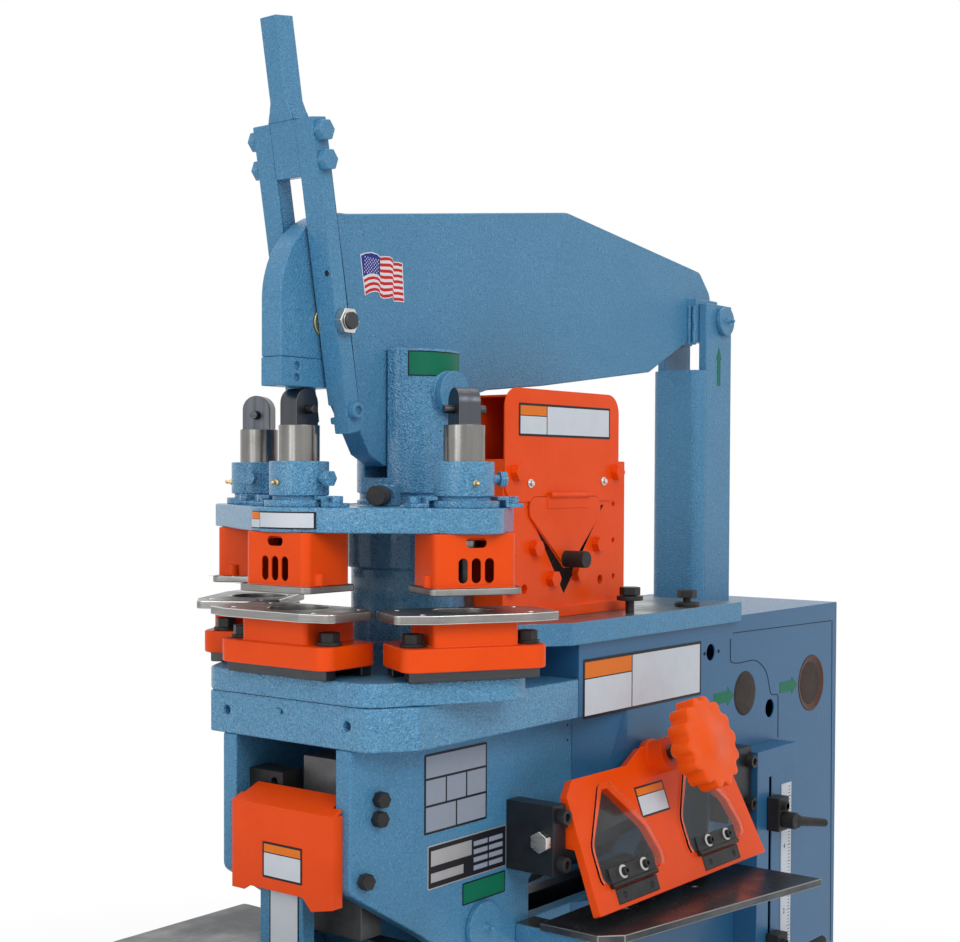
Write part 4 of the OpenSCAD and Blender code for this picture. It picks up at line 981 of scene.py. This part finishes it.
# Seams, weld beads and small fixings.
seamShade = makeBlack("seamShade", (0.008, 0.022, 0.045, 1), 0.6, (0.012, 0.03, 0.06, 1))
seams = {  # radius, then the run across the casing's front
    "casingSeam": (0.8, [
        (543.6, 975), (544.0, 944), (546.5, 939.5), (567, 936.6), (585, 936.8), (612.7, 937.3), (626, 935),
        (635.6, 930.9), (647, 924.5), (656.4, 916.3), (662, 908), (665.3, 899.9), (669.5, 888), (671.9, 881),
        (675.6, 877.6), (697.1, 876), (698, 870), (698.6, 808)]),
    "cabinetTop": (0.7, [(551, 983), (885, 978)]),
    "cabinetSide": (0.7, [(889, 978), (892, 710), (895, 441)]),
}
seamLook = {"radius": 0.8, "wave": 0.0, "pitch": 5, "sides": 6, "finish": seamShade}
for name, (radius, points) in seams.items():
    addBead(name, "casing", [(x, casingFace, z) for x, z in points], dict(seamLook, radius=radius))
weldLook = {"radius": 3.4, "wave": 0.12, "pitch": 1.2, "sides": 10, "finish": bluePaint}
welds = {
    "armPadWeldTop": [(664, -18, 1487), (664.5, -18, 1470), (663.6, -18, 1455), (664.6, -18, 1440), (664, -18, 1426)],
    "armPadWeldOuter": [(665, -27, 1487), (664, -26.5, 1470), (665, -27, 1455), (664, -26.5, 1440), (665, -27, 1426)],
}
for name, points in welds.items():
    addBead(name, "arm", points, weldLook)
ringProfile = [(83, 1177.9), (88, 1177.9), (88, 1178.9), (83, 1178.9), (83, 1177.9)]
lathe("collarRing", ringProfile, Matrix(), brightEdge, "upper_turret_plate", sides=64)

# Small round marks: screw heads, and the mouths of little holes.
headProfile = [(0, 0), (2.6, 0), (2.4, 0.9), (1.2, 1.4), (0, 1.5)]
mouthProfile = [(0, 0), (1.8, 0), (1.5, 0.4), (0, 0.5)]
strapProfile = [(0, 0.02), (3.6, 0.02), (3.4, 0.25), (0, 0.25)]
marks = {
    "casingScrew0": ("casing", headProfile, frontFace(casingFace, 467.6, 959.4), seamShade, 16),
    "casingScrew1": ("casing", headProfile, frontFace(casingFace, 508.2, 959.7), seamShade, 16),
    "casingDimple0": ("casing", mouthProfile, frontFace(casingFace, 121.5, 899), holeShade, 16),
    "casingDimple1": ("casing", mouthProfile, frontFace(casingFace, 121.7, 880), holeShade, 16),
    "strapHole": ("yoke_straps", strapProfile, frontFace(-48, -199.3, 1445.3), holeShade, 20),
}
for name, (node, profile, place, material, sides) in marks.items():
    lathe(name, profile, place, material, node, sides)

# Plugs in the casing: one flush and lightly domed, one a hollow cup whose floor is darker than its rim, painted shade
# in the hollow.
flush = [(0, 1.9), (22, 1.8), (29, 1.5), (32, 0.9), (33, 0), (33, -2.8), (0, -2.8)]
cup = [(0, -2.6), (34, -2.4), (38, -1.9), (41, -0.6), (42.6, 0.6), (44.2, 0.8), (45, 0.2), (45, -2.9), (0, -2.9)]
cupShadeFloor = [(0, -1.9), (30, -1.8), (34, -2.1), (35, -2.5), (0, -2.55)]
flushPlug = lathe("flushPlug", flush, frontFace(casingFace, 590, 889), rubber, "cabinet_plugs", sides=64)
lathe("cupPlug", cup, frontFace(casingFace, 813, 882), brownRubber, "cabinet_plugs", sides=64)
lathe("cupPlugShadeFloor", cupShadeFloor, frontFace(casingFace, 813, 882), rubber, "cabinet_plugs", sides=64)
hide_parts("cabinet_plugs")
print("seams, beads and fixings made")


# The camera, the white floor and the soft lamps.
studio = {"place": (-1.4797, -1.2759, 1.2125), "ahead": (0.787, 0.617), "down": 1.57, "roll": 0.24, "lens": 57.7,
          "shift": 0.051, "world": 0.42, "floor": (0.93, 0.93, 0.93, 1), "clear": 0.8, "fade": (1.6, 2.6)}


def makeCamera(look):
    camera = bpy.data.cameras.new("camera")
    camera.lens = look["lens"]
    camera.shift_y = look["shift"]
    camera.clip_end = 200
    obj = addObject("camera", camera)
    level = Vector((look["ahead"][0], look["ahead"][1], 0)).normalized()
    down = math.radians(look["down"])
    ahead = level * math.cos(down) - Vector((0, 0, math.sin(down)))
    right = ahead.cross(Vector((0, 0, 1))).normalized()
    turn = Matrix((right, right.cross(ahead), -ahead)).transposed().to_4x4()
    roll = Matrix.Rotation(math.radians(look["roll"]), 4, "Z")
    obj.matrix_world = Matrix.Translation(Vector(look["place"])) @ turn @ roll
    scene.camera = obj


def seenRays(tree):
    path = addNode(tree, "ShaderNodeLightPath")
    seen = maths(tree, "MAXIMUM", path.outputs["Is Camera Ray"], path.outputs["Is Glossy Ray"])
    return maths(tree, "MAXIMUM", seen, path.outputs["Is Transmission Ray"])


def makeFloor(look):
    mesh = bpy.data.meshes.new("floor")
    size = 60.0
    mesh.from_pydata([(-size, -size, 0), (size, -size, 0), (size, size, 0), (-size, size, 0)], [], [(0, 1, 2, 3)])
    material = bpy.data.materials.new("paleFloor")
    material.use_nodes = True
    tree = material.node_tree
    tree.nodes.clear()
    place = addNode(tree, "ShaderNodeTexCoord").outputs["Object"]
    away = addNode(tree, "ShaderNodeVectorMath", {0: place}, operation="LENGTH").outputs["Value"]
    clear = spread(tree, away, *look["fade"], look["clear"], 1.0)  # white to the eye from here on
    share = maths(tree, "MULTIPLY", seenRays(tree), clear)
    matt = add(tree, "ShaderNodeBsdfDiffuse", {"Color": look["floor"]})
    glow = add(tree, "ShaderNodeEmission", {"Color": (1, 1, 1, 1), "Strength": 1.0})
    mixed = add(tree, "ShaderNodeMixShader", {0: share, 1: matt, 2: glow})
    addNode(tree, "ShaderNodeOutputMaterial", {"Surface": mixed})
    addObject("floor", mesh, material)


def makeWorld(look):
    world = bpy.data.worlds.new("studio")
    scene.world = world
    world.use_nodes = True
    tree = world.node_tree
    tree.nodes.clear()
    plain = add(tree, "ShaderNodeBackground", {"Color": (0.97, 0.985, 1.0, 1), "Strength": look["world"]})
    white = add(tree, "ShaderNodeBackground", {"Color": (1, 1, 1, 1), "Strength": 1.0})
    mixed = add(tree, "ShaderNodeMixShader", {0: seenRays(tree), 1: plain, 2: white})
    addNode(tree, "ShaderNodeOutputWorld", {"Surface": mixed})


lamps = {  # place, aim, size and power
    "keyLamp": ((-1.2, -3.4, 3.2), (0.1, 0, 1.1), (2.6, 2.0), 62),
    "sideLamp": ((-3.4, -0.2, 2.2), (0, 0, 1.1), (2.0, 2.4), 30),
    "topLamp": ((0.3, 0.4, 3.9), (0.2, 0, 1.0), (3.0, 3.0), 36),
}


def addLamp(name, place, aim, size, power):
    lamp = bpy.data.lights.new(name, "AREA")
    lamp.shape = "RECTANGLE"
    lamp.size, lamp.size_y = size
    lamp.energy = power
    obj = addObject(name, lamp)
    obj.location = place
    obj.rotation_euler = (Vector(aim) - Vector(place)).to_track_quat("-Z", "Y").to_euler()


makeCamera(studio)
makeFloor(studio)
makeWorld(studio)
for name, values in lamps.items():
    addLamp(name, *values)
scene.view_settings.view_transform = "Standard"
print("studio set")
